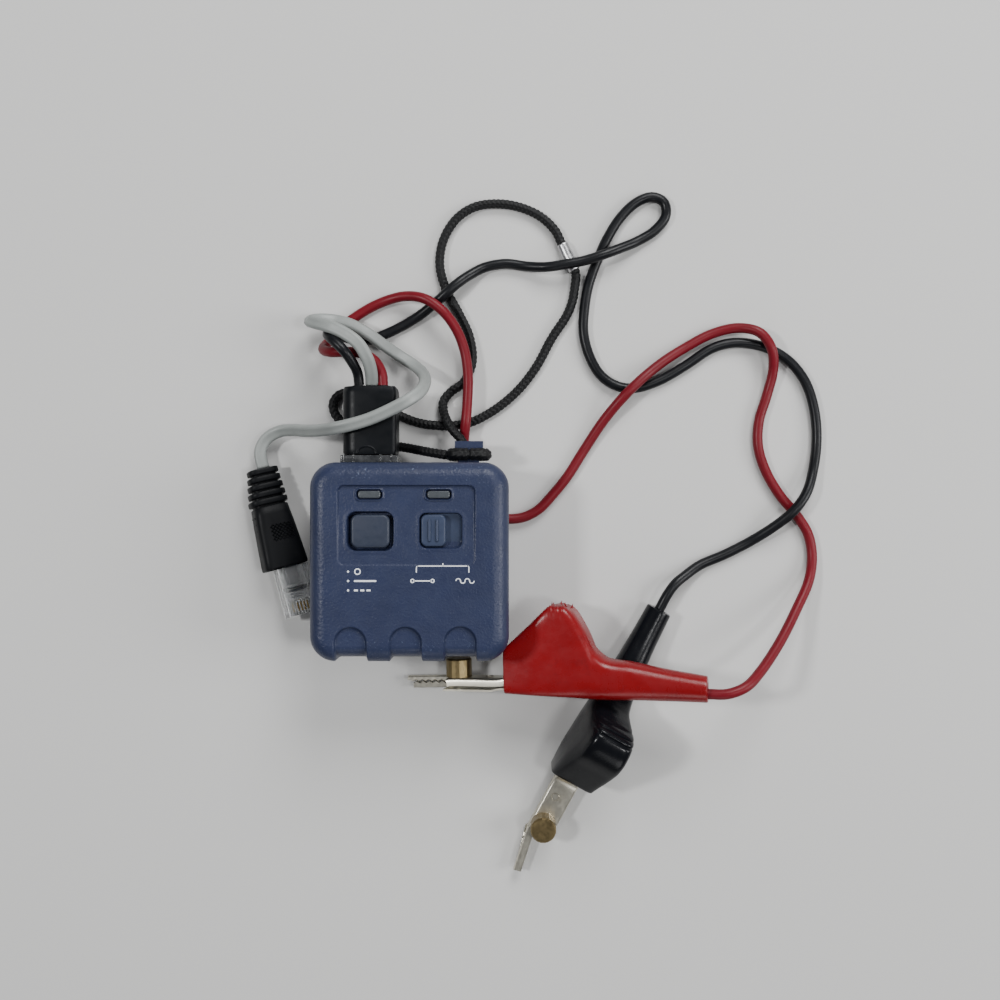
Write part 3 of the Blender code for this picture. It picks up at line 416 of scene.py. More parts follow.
# ---------------------------------------------------------------- floor, light and camera
def set_stage():
    """A pale floor with a faint woven grain, soft light from above the far side, and the camera overhead."""
    finish = Finish("pale_floor", specular_ior_level=0.2)
    across = finish.noise(900.0, 2.0, 0.5, finish.stretched((1.0, 0.3, 1.0)))
    along = finish.noise(900.0, 2.0, 0.5, finish.stretched((0.3, 1.0, 1.0)))
    weave = finish.math("ADD", across, along)
    finish.colour(finish.ramp(weave, [(0.35, (0.495, 0.495, 0.490)), (0.65, (0.555, 0.553, 0.545))]))
    finish.rough(weave, 0.85, 0.95)
    mesh = bpy.data.meshes.new("floor")
    mesh.from_pydata([(-3, -3, 0), (3, -3, 0), (3, 3, 0), (-3, 3, 0)], [], [(0, 1, 2, 3)])
    mesh.materials.append(finish.material)
    put(bpy.data.objects.new("floor", mesh))

    world = bpy.data.worlds.new("studio")
    world.use_nodes = True
    world.node_tree.nodes["Background"].inputs["Color"].default_value = (0.93, 0.96, 1.0, 1.0)
    world.node_tree.nodes["Background"].inputs["Strength"].default_value = 0.14
    bpy.context.scene.world = world
    for name, place, aim, size, energy in (
        ("window", (0.25, 0.74, 0.62), (0.02, 0.0, 0.0), 0.45, 8.9),
        ("right", (0.85, 0.0, 0.52), (0.03, 0.0, 0.0), 0.40, 5.6),
        ("left", (-0.52, 0.10, 0.74), (0.0, 0.0, 0.0), 0.10, 4.0),
        ("strip", (0.40, -0.06, 0.90), (0.0, 0.0, 0.0), 0.12, 2.0),
        ("front", (0.05, -0.85, 0.50), (0.03, 0.0, 0.0), 0.40, 1.4),
    ):
        light = bpy.data.lights.new(name, "AREA")
        light.size = size
        light.energy = energy
        item = put(bpy.data.objects.new(name, light))
        item.location = place
        item.rotation_euler = (Vector(aim) - Vector(place)).to_track_quat("-Z", "Y").to_euler()

    lens = bpy.data.cameras.new("camera")
    lens.lens = 40.8
    lens.sensor_width = 36.0
    camera = put(bpy.data.objects.new("camera", lens))
    camera.location = (0.0264, 0.0180, 0.360)
    bpy.context.scene.camera = camera


# ---------------------------------------------------------------- cords
RED_ROUTE = (
    (-0.0094, 0.053, 0.013), (-0.0098, 0.0568, 0.0131), (-0.0118, 0.0604, 0.0136),
    (-0.0155, 0.0626, 0.0143), (-0.0205, 0.0632, 0.0143), (-0.0256, 0.0634, 0.0121),
    (-0.0286, 0.065, 0.0075), (-0.027, 0.0684, 0.0028), (-0.0236, 0.0725, 0.0016),
    (-0.0163, 0.0778, 0.0016), (-0.0099, 0.0808, 0.002), (-0.0035, 0.082, 0.004), (0.0029, 0.0808, 0.0064),
    (0.0086, 0.0768, 0.007), (0.0129, 0.071, 0.0058), (0.0154, 0.0643, 0.005), (0.0164, 0.0562, 0.0051),
    (0.0162, 0.049, 0.0051), (0.0157, 0.0425, 0.0052), (0.0151, 0.0372, 0.0036), (0.0147, 0.0315, 0.0018),
    (0.0147, 0.0265, 0.0018), (0.0162, 0.0203, 0.0018), (0.0195, 0.0155, 0.0018), (0.0243, 0.0128, 0.0017),
    (0.0292, 0.012, 0.0016), (0.034, 0.0126, 0.0016), (0.0386, 0.015, 0.0016), (0.043, 0.0196, 0.0016),
    (0.0474, 0.025, 0.0016), (0.0528, 0.0335, 0.0016), (0.0595, 0.0436, 0.0028), (0.0672, 0.0525, 0.0052),
    (0.0765, 0.0606, 0.003), (0.0849, 0.0661, 0.0016), (0.0934, 0.0705, 0.0017), (0.1015, 0.0722, 0.003),
    (0.1078, 0.0704, 0.0051), (0.1115, 0.0652, 0.0052), (0.1124, 0.0587, 0.003), (0.1108, 0.0512, 0.0016),
    (0.1083, 0.043, 0.0016), (0.108, 0.0351, 0.0016), (0.1104, 0.0272, 0.0016), (0.1149, 0.0195, 0.0016),
    (0.1201, 0.0133, 0.0016), (0.1238, 0.0072, 0.0016), (0.125, 0.0005, 0.0018), (0.1236, -0.007, 0.0036),
    (0.1184, -0.016, 0.0082), (0.1116, -0.0255, 0.0146), (0.104, -0.0336, 0.0214), (0.099, -0.0373, 0.0252),
    (0.09361, -0.0392, 0.0259), (0.088, -0.03946, 0.0246), (0.07615, -0.03975, 0.02165),
    (0.0645, -0.04, 0.01875), (0.0592, -0.0398, 0.0174), (0.0538, -0.03895, 0.0161),
    (0.0494, -0.03866, 0.015),
)
BLACK_ROUTE = (
    (-0.0167, 0.0532, 0.013), (-0.0171, 0.0568, 0.014), (-0.0186, 0.0601, 0.0166),
    (-0.0209, 0.0633, 0.0184), (-0.0243, 0.0665, 0.0172), (-0.0264, 0.0687, 0.013),
    (-0.0261, 0.0697, 0.009), (-0.0231, 0.0692, 0.0058), (-0.019, 0.0683, 0.0038), (-0.0145, 0.0686, 0.002),
    (-0.0099, 0.0704, 0.0016), (-0.005, 0.0727, 0.0016), (0.0009, 0.0762, 0.002), (0.006, 0.08, 0.0034),
    (0.01, 0.0832, 0.0049), (0.0134, 0.0862, 0.0046), (0.017, 0.089, 0.0028), (0.0215, 0.0915, 0.0016),
    (0.0283, 0.0927, 0.0016), (0.0349, 0.0918, 0.002), (0.041, 0.0912, 0.004), (0.0472, 0.0919, 0.005),
    (0.053, 0.093, 0.0051), (0.059, 0.0949, 0.0053), (0.064, 0.097, 0.004), (0.0695, 0.0996, 0.002),
    (0.0752, 0.1031, 0.0016), (0.0788, 0.1078, 0.0016), (0.0783, 0.112, 0.0016), (0.0746, 0.1138, 0.0016),
    (0.0696, 0.1121, 0.0016), (0.0644, 0.1072, 0.0016), (0.0602, 0.1005, 0.0016), (0.0575, 0.0945, 0.0016),
    (0.0545, 0.0863, 0.0016), (0.0531, 0.0784, 0.0016), (0.0528, 0.0711, 0.0016), (0.0545, 0.064, 0.0016),
    (0.0582, 0.0575, 0.0016), (0.0635, 0.054, 0.0016), (0.0692, 0.0534, 0.0016), (0.077, 0.0559, 0.0016),
    (0.0852, 0.0606, 0.0016), (0.0934, 0.0659, 0.0016), (0.1007, 0.0677, 0.0016), (0.1092, 0.0666, 0.0016),
    (0.1171, 0.0625, 0.0016), (0.1228, 0.0556, 0.0016), (0.1258, 0.0464, 0.0016), (0.1265, 0.0363, 0.0016),
    (0.1252, 0.0275, 0.0024), (0.1226, 0.0203, 0.0044), (0.1186, 0.0148, 0.0052), (0.1136, 0.0104, 0.004),
    (0.106, 0.0052, 0.0019), (0.0975, 0.0008, 0.0016), (0.0895, -0.0026, 0.0019), (0.0847, -0.0058, 0.0032),
    (0.0815, -0.0082, 0.0044), (0.0791, -0.0113, 0.0047), (0.07635, -0.0164, 0.0044),
    (0.0706, -0.0271, 0.0038), (0.0649, -0.0376, 0.00325), (0.0622, -0.0425, 0.0033),
    (0.0596, -0.0474, 0.004), (0.05745, -0.0513, 0.0042),
)
GREY_ROUTE = (
    (-0.0128, 0.0532, 0.0134), (-0.0128, 0.0572, 0.0157), (-0.0139, 0.0612, 0.0181),
    (-0.0164, 0.0652, 0.0188), (-0.0205, 0.0683, 0.0182), (-0.0252, 0.0705, 0.0172),
    (-0.03, 0.0721, 0.0145), (-0.0322, 0.0733, 0.0105), (-0.0306, 0.0743, 0.0066),
    (-0.0262, 0.0744, 0.0049), (-0.0208, 0.0731, 0.0053), (-0.015, 0.07, 0.0058), (-0.01, 0.0665, 0.0049),
    (-0.005, 0.0632, 0.0034), (-0.0005, 0.0602, 0.0044), (0.0026, 0.057, 0.0085), (0.0034, 0.0537, 0.0138),
    (0.002, 0.0504, 0.0188), (-0.0015, 0.0476, 0.0214), (-0.006, 0.0452, 0.0212), (-0.0127, 0.0422, 0.0213),
    (-0.019, 0.0403, 0.0216), (-0.024, 0.0394, 0.0201), (-0.029, 0.0391, 0.0158), (-0.0336, 0.0393, 0.0109),
    (-0.038, 0.0398, 0.0067), (-0.0428, 0.0395, 0.0044), (-0.0469, 0.0372, 0.004),
    (-0.0488, 0.0335, 0.0042), (-0.0485, 0.0305, 0.0045), (-0.04778, 0.028, 0.0046),
)
LANYARD_ROUTE_A = (
    (0.0154, 0.0347, 0.0074), (0.0143, 0.0368, 0.0072), (0.0118, 0.0396, 0.0066), (0.0098, 0.0428, 0.0051),
    (0.0086, 0.0462, 0.0028), (0.0086, 0.0493, 0.0016), (0.011, 0.0523, 0.0015), (0.0148, 0.0551, 0.0015),
    (0.0176, 0.0616, 0.0015), (0.0168, 0.0695, 0.0015), (0.0132, 0.0774, 0.0015), (0.0096, 0.084, 0.0015),
    (0.0074, 0.092, 0.0015), (0.0084, 0.0999, 0.0015), (0.0125, 0.1068, 0.0015), (0.0182, 0.1106, 0.0015),
    (0.0255, 0.1117, 0.0015), (0.0327, 0.1106, 0.0015), (0.0394, 0.1075, 0.0015), (0.0438, 0.1033, 0.0015),
    (0.0457, 0.0996, 0.0015),
)
LANYARD_ROUTE_B = (
    (0.0503, 0.0898, 0.0015), (0.05, 0.085, 0.0015), (0.0492, 0.0806, 0.0015), (0.0474, 0.0762, 0.0015),
    (0.0428, 0.0692, 0.0015), (0.0378, 0.06, 0.0015), (0.0315, 0.0521, 0.0015), (0.0236, 0.0458, 0.0015),
    (0.0163, 0.0423, 0.0015), (0.0084, 0.0415, 0.0015), (0.0011, 0.0423, 0.0015), (-0.004, 0.0441, 0.0015),
    (-0.012, 0.0482, 0.0015), (-0.019, 0.051, 0.0015), (-0.0239, 0.0516, 0.0015), (-0.0264, 0.0485, 0.0015),
    (-0.0252, 0.0444, 0.0015), (-0.019, 0.0396, 0.0015), (-0.012, 0.0366, 0.0017), (-0.006, 0.035, 0.0028),
    (-0.001, 0.034, 0.0058), (0.004, 0.0329, 0.0094), (0.009, 0.032, 0.0116),
)
INTO_HITCH = (0.0122, 0.0316, 0.0122)
LEAD_RADIUS = 0.0016
LANYARD_RADIUS = 0.0015


def round_lead(color, route, surface):
    """A single insulated lead as a curve of one open spline."""
    points = lying(smooth_route(route, 1.2 * MM), LEAD_RADIUS)
    curve = bpy.data.curves.new("lead", "CURVE")
    curve.dimensions = "3D"
    curve.bevel_depth = LEAD_RADIUS - 0.01 * MM
    curve.bevel_resolution = 6
    curve.use_fill_caps = True
    spline = curve.splines.new("POLY")
    spline.points.add(len(points) - 1)
    for point, place in zip(spline.points, points):
        point.co = (*place, 1.0)
    spline.use_smooth = True
    name, slot = f"{color}_lead_wire", f"{color}_pvc"
    return add_piece(name, curve, surface, replaces=(f"{color}_lead",)), points


def flat_lead(surface):
    """The flat telephone cord: two rounded edges and a shallow waist, turned over at its fold."""
    half_wide, half_thick = 1.95 * MM, 1.26 * MM
    points = smooth_route(GREY_ROUTE, 0.8 * MM)
    rings = []
    count = 32
    for point, (tangent, side, normal) in zip(points, travelling_frames(points, UP)):
        level = UP - tangent * tangent.z
        flat = level.normalized() if level.length > 0.25 else normal
        normal = (normal * 0.35 + flat * 0.65).normalized()
        side = tangent.cross(normal)
        ring = []
        for i in range(count):
            angle = math.tau * i / count
            c, s = math.cos(angle), math.sin(angle)
            wide = half_wide * math.copysign(abs(c) ** 0.75, c)
            waist = 1 - 0.16 * math.exp(-(c / 0.22) ** 2)
            thick = half_thick * math.copysign(abs(s) ** 0.8, s) * waist
            ring.append(point + side * wide + normal * thick)
        rings.append(lifted(ring))
    return add_piece("flat_cord", skin(rings), surface, replaces=("grey_lead",)), points


def lifted(ring):
    """The same ring, raised where it would sink into the floor."""
    lift = max(CLEAR - min(p.z for p in ring), 0.0)
    return [p + UP * lift for p in ring]


def braid_mesh(points, radius, pitch=1.4 * MM, waist=None):
    """A braided cord: eight columns of slanting stitches that meet in chevrons, each a raised pillow."""
    columns, per_column = 8, 6
    around = columns * per_column
    rings = []
    travelled = 0.0
    for i, (point, (tangent, side, normal)) in enumerate(zip(points, travelling_frames(points, UP))):
        if i:
            travelled += (point - points[i - 1]).length
        slim = waist(i / (len(points) - 1)) if waist else 1.0
        ring = []
        for k in range(around):
            column, place = divmod(k / per_column, 1.0)
            lean = place if column % 2 else 1 - place
            stitch = (travelled / pitch + 0.62 * lean) % 1.0
            pillow = math.sin(math.pi * stitch) ** 0.7 * math.sin(math.pi * (place + 0.083)) ** 0.45
            reach = (radius - 0.34 * MM * (1 - pillow)) * slim
            angle = math.tau * k / around
            ring.append(point + side * (reach * math.cos(angle)) + normal * (reach * math.sin(angle)))
        rings.append(ring)
    return skin(rings)


def make_cords():
    """The three leads and the lanyard, each as its object with its centre line."""
    red = pvc("red_lead_pvc", (0.136, 0.0046, 0.0110), 0.34, 0.46, (0.092, 0.0042, 0.0085),
              specular_ior_level=0.22)
    black = pvc("black_lead_pvc", (0.0045, 0.005, 0.0065), 0.30, 0.42, (0.009, 0.010, 0.012),
                specular_ior_level=0.24)
    grey = pvc("grey_cord_pvc", (0.232, 0.248, 0.240), 0.36, 0.52, (0.185, 0.198, 0.192))
    route = LANYARD_ROUTE_A + LANYARD_ROUTE_B + (INTO_HITCH,)
    points = lying(smooth_route(route, 0.27 * MM), LANYARD_RADIUS)
    lanyard = add_piece(
        "braided_lanyard", braid_mesh(points, LANYARD_RADIUS), braid_finish(),
        replaces=("lanyard_a", "lanyard_b"),
    )
    return {
        "red": round_lead("red", RED_ROUTE, red),
        "black": round_lead("black", BLACK_ROUTE, black),
        "grey": flat_lead(grey),
        "lanyard": (lanyard, points),
    }


def ferrule(surface):
    """The plain plated sleeve that joins the lanyard's two ends."""
    first, last = Vector(LANYARD_ROUTE_A[-1]), Vector(LANYARD_ROUTE_B[0])
    way = (last - first).normalized()
    rings = []
    for i in range(41):
        t = -1 + 2 * i / 40
        radius = (1.85 - 0.16 * flow(0.92, 1.0, abs(t))) * MM
        rings.append(circle((first + last) / 2 + way * (4.6 * MM * t), way.cross(UP), UP, radius, 24))
    lift = UP * max(CLEAR - min(p.z for ring in rings for p in ring), 0.0)
    mesh = skin([[p + lift for p in ring] for ring in rings])
    return add_piece("lanyard_sleeve", mesh, surface, replaces=("lanyard_ferrule",))


# ---------------------------------------------------------------- case
CASE_HALF = 29.0
CORNER_CENTRE = 21.5
TOP = 34.0
FILLET = 4.8
FLAT_HALF = CASE_HALF - FILLET
RIM_LOW = 14.3
# Centre across the case, then the height of the scallop's round end.
SCALLOPS = ((-16.8, -18.6), (-0.9, -18.5), (14.9, -18.4))
WINDOWS = ((-11.3, 19.6), (8.7, 19.6))
BUTTON = (-11.0, 9.0)
KNOB = (7.2, 9.2)
KNOB_HOLE = (9.35, 9.2)
INK = TOP + 0.035


def scallop_depth(x, unrolled):
    """How far the thumb scallops sink at a distance over the front edge, in millimetres."""
    half = 4.75
    depth = 0.0
    for centre, crest in SCALLOPS:
        gap = math.hypot(x - centre, max(unrolled - crest + half, 0.0)) - half
        depth = max(depth, 1.05 * (1 - flow(-0.55, 0.12, gap)))
    return depth * (1 - flow(33.0, 42.0, -unrolled))


def front_height(x, y):
    """Height of the top's features over its flat, in millimetres."""
    height = 0.0
    panel = rounded_gap(x, y, (-0.6, 10.7), (19.9, 11.6), 2.0)
    height -= (0.22 + 0.62 * flow(-0.9, 22.3, y)) * (1 - flow(-0.42, 0.10, panel))
    for centre in WINDOWS:
        gap = rounded_gap(x, y, centre, (3.5, 1.2), 0.8)
        height += 0.34 * (1 - flow(0.45, 0.95, gap))
        height -= 1.5 * (1 - flow(-0.05, 0.30, gap))
    for centre, half, corner, lip, sink in (
        (BUTTON, (6.55, 5.5), 2.4, 0.12, 3.2), (KNOB_HOLE, (6.05, 5.0), 1.9, 0.10, 2.3),
    ):
        gap = rounded_gap(x, y, centre, half, corner)
        height += lip * (1 - flow(0.5, 1.5, gap)) - sink * (1 - flow(-0.25, 0.20, gap))
    return height


def front_shell():
    """The upper shell as one skin from the centre of the top, over the fillet and down the sides."""
    inner = 118
    fillet_steps = 14
    wall_steps = 10
    wall_top = TOP - FILLET
    levels = []
    for step in range(1, fillet_steps + 1):
        theta = math.pi / 2 * step / fillet_steps
        levels.append((FLAT_HALF + FILLET * math.sin(theta), wall_top + FILLET * math.cos(theta), theta))
    for step in range(1, wall_steps + 1):
        levels.append((CASE_HALF, wall_top + (RIM_LOW - wall_top) * step / wall_steps, math.pi / 2))
    levels.append((CASE_HALF - 1.6, RIM_LOW, math.pi / 2))
    reach = inner + len(levels)
    turn = inner * CORNER_CENTRE / FLAT_HALF

    def half_at(level):
        if level <= inner:
            return level / inner * FLAT_HALF, TOP, 0.0
        return levels[level - inner - 1]

    points = []
    for row in range(-reach, reach + 1):
        for column in range(-reach, reach + 1):
            across, up = abs(column), abs(row)
            half, z, theta = half_at(max(across, up))
            sx, sy = math.copysign(1, column), math.copysign(1, row)
            if across > turn and up > turn:
                angle = math.atan2(up - turn, across - turn)
                away = Vector((math.cos(angle) * sx, math.sin(angle) * sy, 0.0))
                x = sx * CORNER_CENTRE + away.x * (half - CORNER_CENTRE)
                y = sy * CORNER_CENTRE + away.y * (half - CORNER_CENTRE)
            elif across >= up:
                x, y = sx * half, row / inner * FLAT_HALF
                away = Vector((sx, 0.0, 0.0))
            else:
                x, y = column / inner * FLAT_HALF, sy * half
                away = Vector((0.0, sy, 0.0))
            normal = Vector((away.x * math.sin(theta), away.y * math.sin(theta), math.cos(theta)))
            if theta == 0.0:
                height, unrolled, facing = front_height(x, y), y, 1.0
            else:
                height, unrolled, facing = 0.0, 0.0, max(-away.y, 0.0) ** 2
                if away.y <= -0.5:
                    unrolled = -(FLAT_HALF + FILLET * theta + max(wall_top - z, 0.0))
            sunk = scallop_depth(x, unrolled) * facing * (1 + 0.45 * flow(24.0, 30.0, -unrolled))
            points.append((Vector((x, y, z)) + normal * (height - sunk)) * MM)
    width = 2 * reach + 1
    faces = []
    for row in range(width - 1):
        for first in range(row * width, row * width + width - 1):
            faces.append((first, first + 1, first + width + 1, first + width))
    return mesh_of(points, faces, 50)


def make_case(blue):
    """The upper shell, and the finish of the rear cover and the battery door."""
    add_piece("upper_shell", front_shell(), blue, replaces=("front_cover",))
    dress(blue, "rear_cover", "battery_door")


def controls(blue):
    """Button, slide knob with its shutter, and light windows."""
    cap_grey = control_finish("button_plastic", (0.0235, 0.0300, 0.0490))
    knob_blue = control_finish("knob_plastic", (0.0275, 0.0385, 0.0740))
    x, y = BUTTON
    cap = merged([soft_block((x - 5.6, y - 4.8, 30.5), (x + 5.6, y + 4.8, 33.95), 2.0, 0.75)])
    add_piece("button_cap", cap, cap_grey, "power_button", ("power_button",))
    x, y = KNOB
    parts = [soft_block((x - 3.6, y - 4.6, 31.9), (x + 3.6, y + 4.6, 33.75), 1.7, 0.6)]
    for rib in (x - 1.15, x + 1.05):
        parts.append(soft_block((rib - 0.42, y - 3.2, 33.4), (rib + 0.42, y + 3.2, 34.25), 0.35, 0.32))
    parts.append(soft_block((x - 8.3, y - 6.0, 30.4), (x + 8.9, y + 6.0, 31.45), 0.5, 0.2))
    add_piece("knob_cap", merged(parts), knob_blue, "slide_knob", ("slide_knob",))
    grey = mottled("window_plastic", (0.050, 0.057, 0.064), 0.22, 0.34, 0.10, 400.0, 1500.0, 0.010 * MM)
    for side, (x, y) in zip(("left", "right"), WINDOWS):
        lens = merged([soft_block((x - 3.2, y - 1.0, 30.2), (x + 3.2, y + 1.0, 33.60), 0.65, 0.30)])
        name = f"window_lens_{side}"
        add_piece(name, lens, grey.material, replaces=(f"led_window_{side}",))


def bar(low_x, low_y, high_x, high_y):
    """One printed stroke on the top, in millimetres."""
    return soft_block((low_x, low_y, INK - 0.03), (high_x, high_y, INK), 0.10, 0.0)


def ring_mark(x, y, outer, inner, start=0, end=360):
    """A printed arc or ring."""
    steps = 28
    rings = []
    for i in range(steps + 1):
        angle = math.radians(start + (end - start) * i / steps)
        c, s = math.cos(angle), math.sin(angle)
        corners = (inner, INK - 0.03), (outer, INK - 0.03), (outer, INK), (inner, INK)
        rings.append([Vector((x + r * c, y + r * s, z)) for r, z in corners])
    return skin(rings, capped=end - start < 360)


def printing():
    """Plain white function marks: three mode rows, a bracket and two signs under it."""
    strokes = []
    for row, y in enumerate((-2.6, -5.3, -8.0)):
        strokes.append(ring_mark(-17.3, y, 0.32, 0.02))
        if row == 0:
            strokes.append(ring_mark(-14.6, y, 0.95, 0.62))
        elif row == 1:
            strokes.append(bar(-15.6, y - 0.26, -9.2, y + 0.26))
        else:
            for x in (-15.6, -13.8, -12.0):
                strokes.append(bar(x, y - 0.26, x + 1.15, y + 0.26))
    strokes.append(bar(2.6, -1.15, 17.2, -0.85))
    for x, low in ((2.2, -2.9), (17.3, -2.9)):
        strokes.append(bar(x, low, x + 0.30, -1.5))
    strokes.append(ring_mark(2.85, -1.50, 0.65, 0.35, 90, 180))
    strokes.append(ring_mark(16.95, -1.50, 0.65, 0.35, 0, 90))
    strokes.append(bar(9.8, -1.0, 10.1, -0.15))
    strokes.append(bar(1.6, -5.45, 6.6, -5.10))
    for x in (1.2, 7.0):
        strokes.append(ring_mark(x, -5.28, 0.62, 0.30))
    for index in range(4):
        x = 14.4 + index * 1.3
        start, end = (0, 180) if index % 2 == 0 else (180, 360)
        strokes.append(ring_mark(x, -5.28, 0.80, 0.50, start, end))
    add_piece("function_marks", merged(strokes, 60), print_finish())


# ---------------------------------------------------------------- lead block, collar and lanyard post
def block_ring(y, squeeze):
    """The block's outline at a place along it: small corners on the right, large ones on the left."""
    low_x, high_x = -21.3 + squeeze, -4.9 - squeeze
    low_z, high_z = 6.5 + squeeze, 19.5 - squeeze
    small, large = 1.2, 4.2
    ring = []
    for x, z, radius, first in (
        (high_x - small, high_z - small, small, 0), (low_x + large, high_z - large, large, 90),
        (low_x + large, low_z + large, large, 180), (high_x - small, low_z + small, small, 270),
    ):
        for step in range(7):
            angle = math.radians(first + 15 * step)
            ring.append(Vector((x + radius * math.cos(angle), y, z + radius * math.sin(angle))))
    return ring


def make_block():
    """The moulded strain relief, with three short sleeves where the leads leave it."""
    plastic = mottled("block_plastic", (0.0030, 0.0038, 0.0052), 0.34, 0.46, 0.15, 120.0, 3200.0,
                      specular_ior_level=0.16)
    rings = []
    for t in (i / 24 for i in range(25)):
        squeeze = 0.35 * flow(0.93, 1.0, t) + 0.20 * (1 - flow(0.0, 0.05, t))
        rings.append(block_ring(31.8 + 20.5 * t, squeeze))
    parts = [skin(rings, 50), soft_block((-18.5, 26.0, 8.6), (-7.7, 33.0, 13.8), 0.5, 0.4)]
    profile = ((51.6, 2.25), (52.5, 2.25), (52.9, 2.15), (53.0, 1.95), (52.6, 1.75))
    for x in (-16.7, -12.9, -9.4):
        parts.append(skin([circle(Vector((x, y, 13.0)), RIGHT, UP, radius, 24) for y, radius in profile], 50))
    arch = []
    profile = ((3.2, 19.2), (3.2, 19.75), (2.8, 19.85), (2.5, 19.7), (2.5, 19.2))
    for angle in (math.pi * k / 24 for k in range(25)):
        c, s = math.cos(angle), 0.72 * math.sin(angle)
        arch.append([Vector((-13.7 + r * c, 32.1 + r * s, z)) for r, z in profile])
    parts.append(skin(arch, 50))
    parts.append(soft_block((-9.2, 44.3, 19.3), (-8.5, 45.0, 19.62), 0.3, 0.1))
    shell = merged(parts, 45)
    add_piece("lead_block_shell", shell, plastic.material, replaces=("lead_block",))


def make_collar():
    """The smoke-dark collar between the block and the case: four walls and four ribs."""
    smoke = Finish("smoke_plastic", transmission_weight=0.35, ior=1.5)
    greys = [(0.3, (0.030, 0.032, 0.036)), (0.7, (0.085, 0.088, 0.092))]
    smoke.colour(smoke.ramp(smoke.noise(500.0), greys))
    smoke.rough(smoke.noise(700.0), 0.14, 0.30)
    smoke.relief(smoke.noise(1400.0, 2.0), 0.02 * MM)
    left, right, front, back = -21.6, -4.3, 29.2, 31.5
    parts = []
    for low_x, low_z, high_x, high_z in (
        (left, 14.4, right, 19.7), (left, 6.1, right, 8.1),
        (left, 8.1, -19.0, 14.4), (-7.2, 8.1, right, 14.4),
    ):
        parts.append(soft_block((low_x, front, low_z), (high_x, back, high_z), 0.35, 0.35))
    for x in (-20.4, -17.6, -9.4, -6.2):
        parts.append(soft_block((x - 0.25, 29.3, 19.2), (x + 0.25, 31.75, 19.95), 0.1, 0.12))
    collar = merged(parts, 45)
    add_piece("smoke_collar", collar, smoke.material, replaces=("lead_block_collar",))


def make_hitch(braid):
    """The lanyard's loop round its post, pinched where its strand passes."""
    x, y, z = 16.8, 31.9, 12.0
    across, up, bend = 5.2, 4.2, 2.4
    points = []
    for corner_x, corner_z, start in ((-1, -1, 180), (1, -1, 270), (1, 1, 0), (-1, 1, 90)):
        for step in range(10):
            angle = math.radians(start + 10 * step)
            points.append(Vector((
                x + corner_x * (across - bend) + bend * math.cos(angle), y,
                z + corner_z * (up - bend) + bend * math.sin(angle),
            )) * MM)
    points.append(points[0])

    def pinch(share):
        return 1 - 0.24 * math.exp(-((share - 0.69) / 0.012) ** 2)

    mesh = braid_mesh(smooth_route(points, 0.22 * MM), 1.95 * MM, 1.7 * MM, pinch)
    add_piece("lanyard_turns", mesh, braid, replaces=("lanyard_hitch",))


# ---------------------------------------------------------------- clips
CARRIED_PARTS = ("lower_jaw", "pivot_pin", "nail_cup", "nail_bed", "wire_crimp")
# Distance from the nose, then the section's lowest, highest, half width and squareness.
BOOT_STATIONS = (
    (30.2, 1.1, 14.9, 6.90, 5.0), (38.0, 0.6, 21.9, 7.15, 5.0), (43.2, 0.3, 26.8, 6.90, 4.5),
    (47.0, 0.1, 27.9, 6.70, 4.5), (51.4, -0.2, 26.0, 6.45, 4.5), (55.3, -0.6, 19.8, 6.20, 4.0),
    (57.6, -0.8, 15.0, 6.00, 3.6), (61.2, -1.0, 11.6, 5.70, 3.2), (68.9, -1.2, 10.3, 5.00, 2.6),
    (80.0, -1.6, 8.0, 4.40, 2.2), (92.2, -2.0, 5.9, 4.00, 2.0),
)


def clip_axes(nose, yaw, rise, hump_up):
    """Axes of a clip from its nose: x to the lead's end, y towards the hump, z sideways."""
    way = Vector((math.cos(yaw) * math.cos(rise), math.sin(yaw) * math.cos(rise), math.sin(rise)))
    if hump_up:
        hump = Vector((-math.cos(yaw) * math.sin(rise), -math.sin(yaw) * math.sin(rise), math.cos(rise)))
    else:
        hump = Vector((-math.sin(yaw), math.cos(yaw), 0.0))
    axes = Matrix((way, hump, way.cross(hump))).transposed().to_4x4()
    return Matrix.Translation(nose) @ axes


RED_CLIP = clip_axes(Vector((-0.0014, -0.0436, 0.0023)), math.radians(1.4), math.radians(14.0), False)
BLACK_CLIP = clip_axes(Vector((0.0326, -0.0973, -0.0021)), math.radians(61.6), math.radians(2.85), True)


def station_at(along):
    """A sleeve's section at a distance from the nose, on a smooth curve through the stations."""
    last = len(BOOT_STATIONS) - 1
    index = next((i for i in range(last) if along <= BOOT_STATIONS[i + 1][0]), last - 1)
    before, first, second, after = (BOOT_STATIONS[min(max(index + k, 0), last)] for k in (-1, 0, 1, 2))
    span = second[0] - first[0]
    t = (along - first[0]) / span
    values = []
    for k in range(1, 5):
        slope_a = (second[k] - before[k]) / (second[0] - before[0]) * span
        slope_b = (after[k] - first[k]) / (after[0] - first[0]) * span
        values.append(
            (2 * t ** 3 - 3 * t ** 2 + 1) * first[k] + (t ** 3 - 2 * t ** 2 + t) * slope_a
            + (-2 * t ** 3 + 3 * t ** 2) * second[k] + (t ** 3 - t ** 2) * slope_b
        )
    return values


def boot_section(along, inset, push=0.0):
    """One ring of a sleeve, in its clip's axes: along, towards the hump, sideways."""
    low, high, half, square = station_at(along)
    square += 3.5 * (1 - flow(42.0, 56.0, along))
    middle = (low + high) / 2
    outline = squircle(half - inset, (high - low) / 2 - inset, square, 72)
    return [(along + push, middle + rise, side) for side, rise in outline]


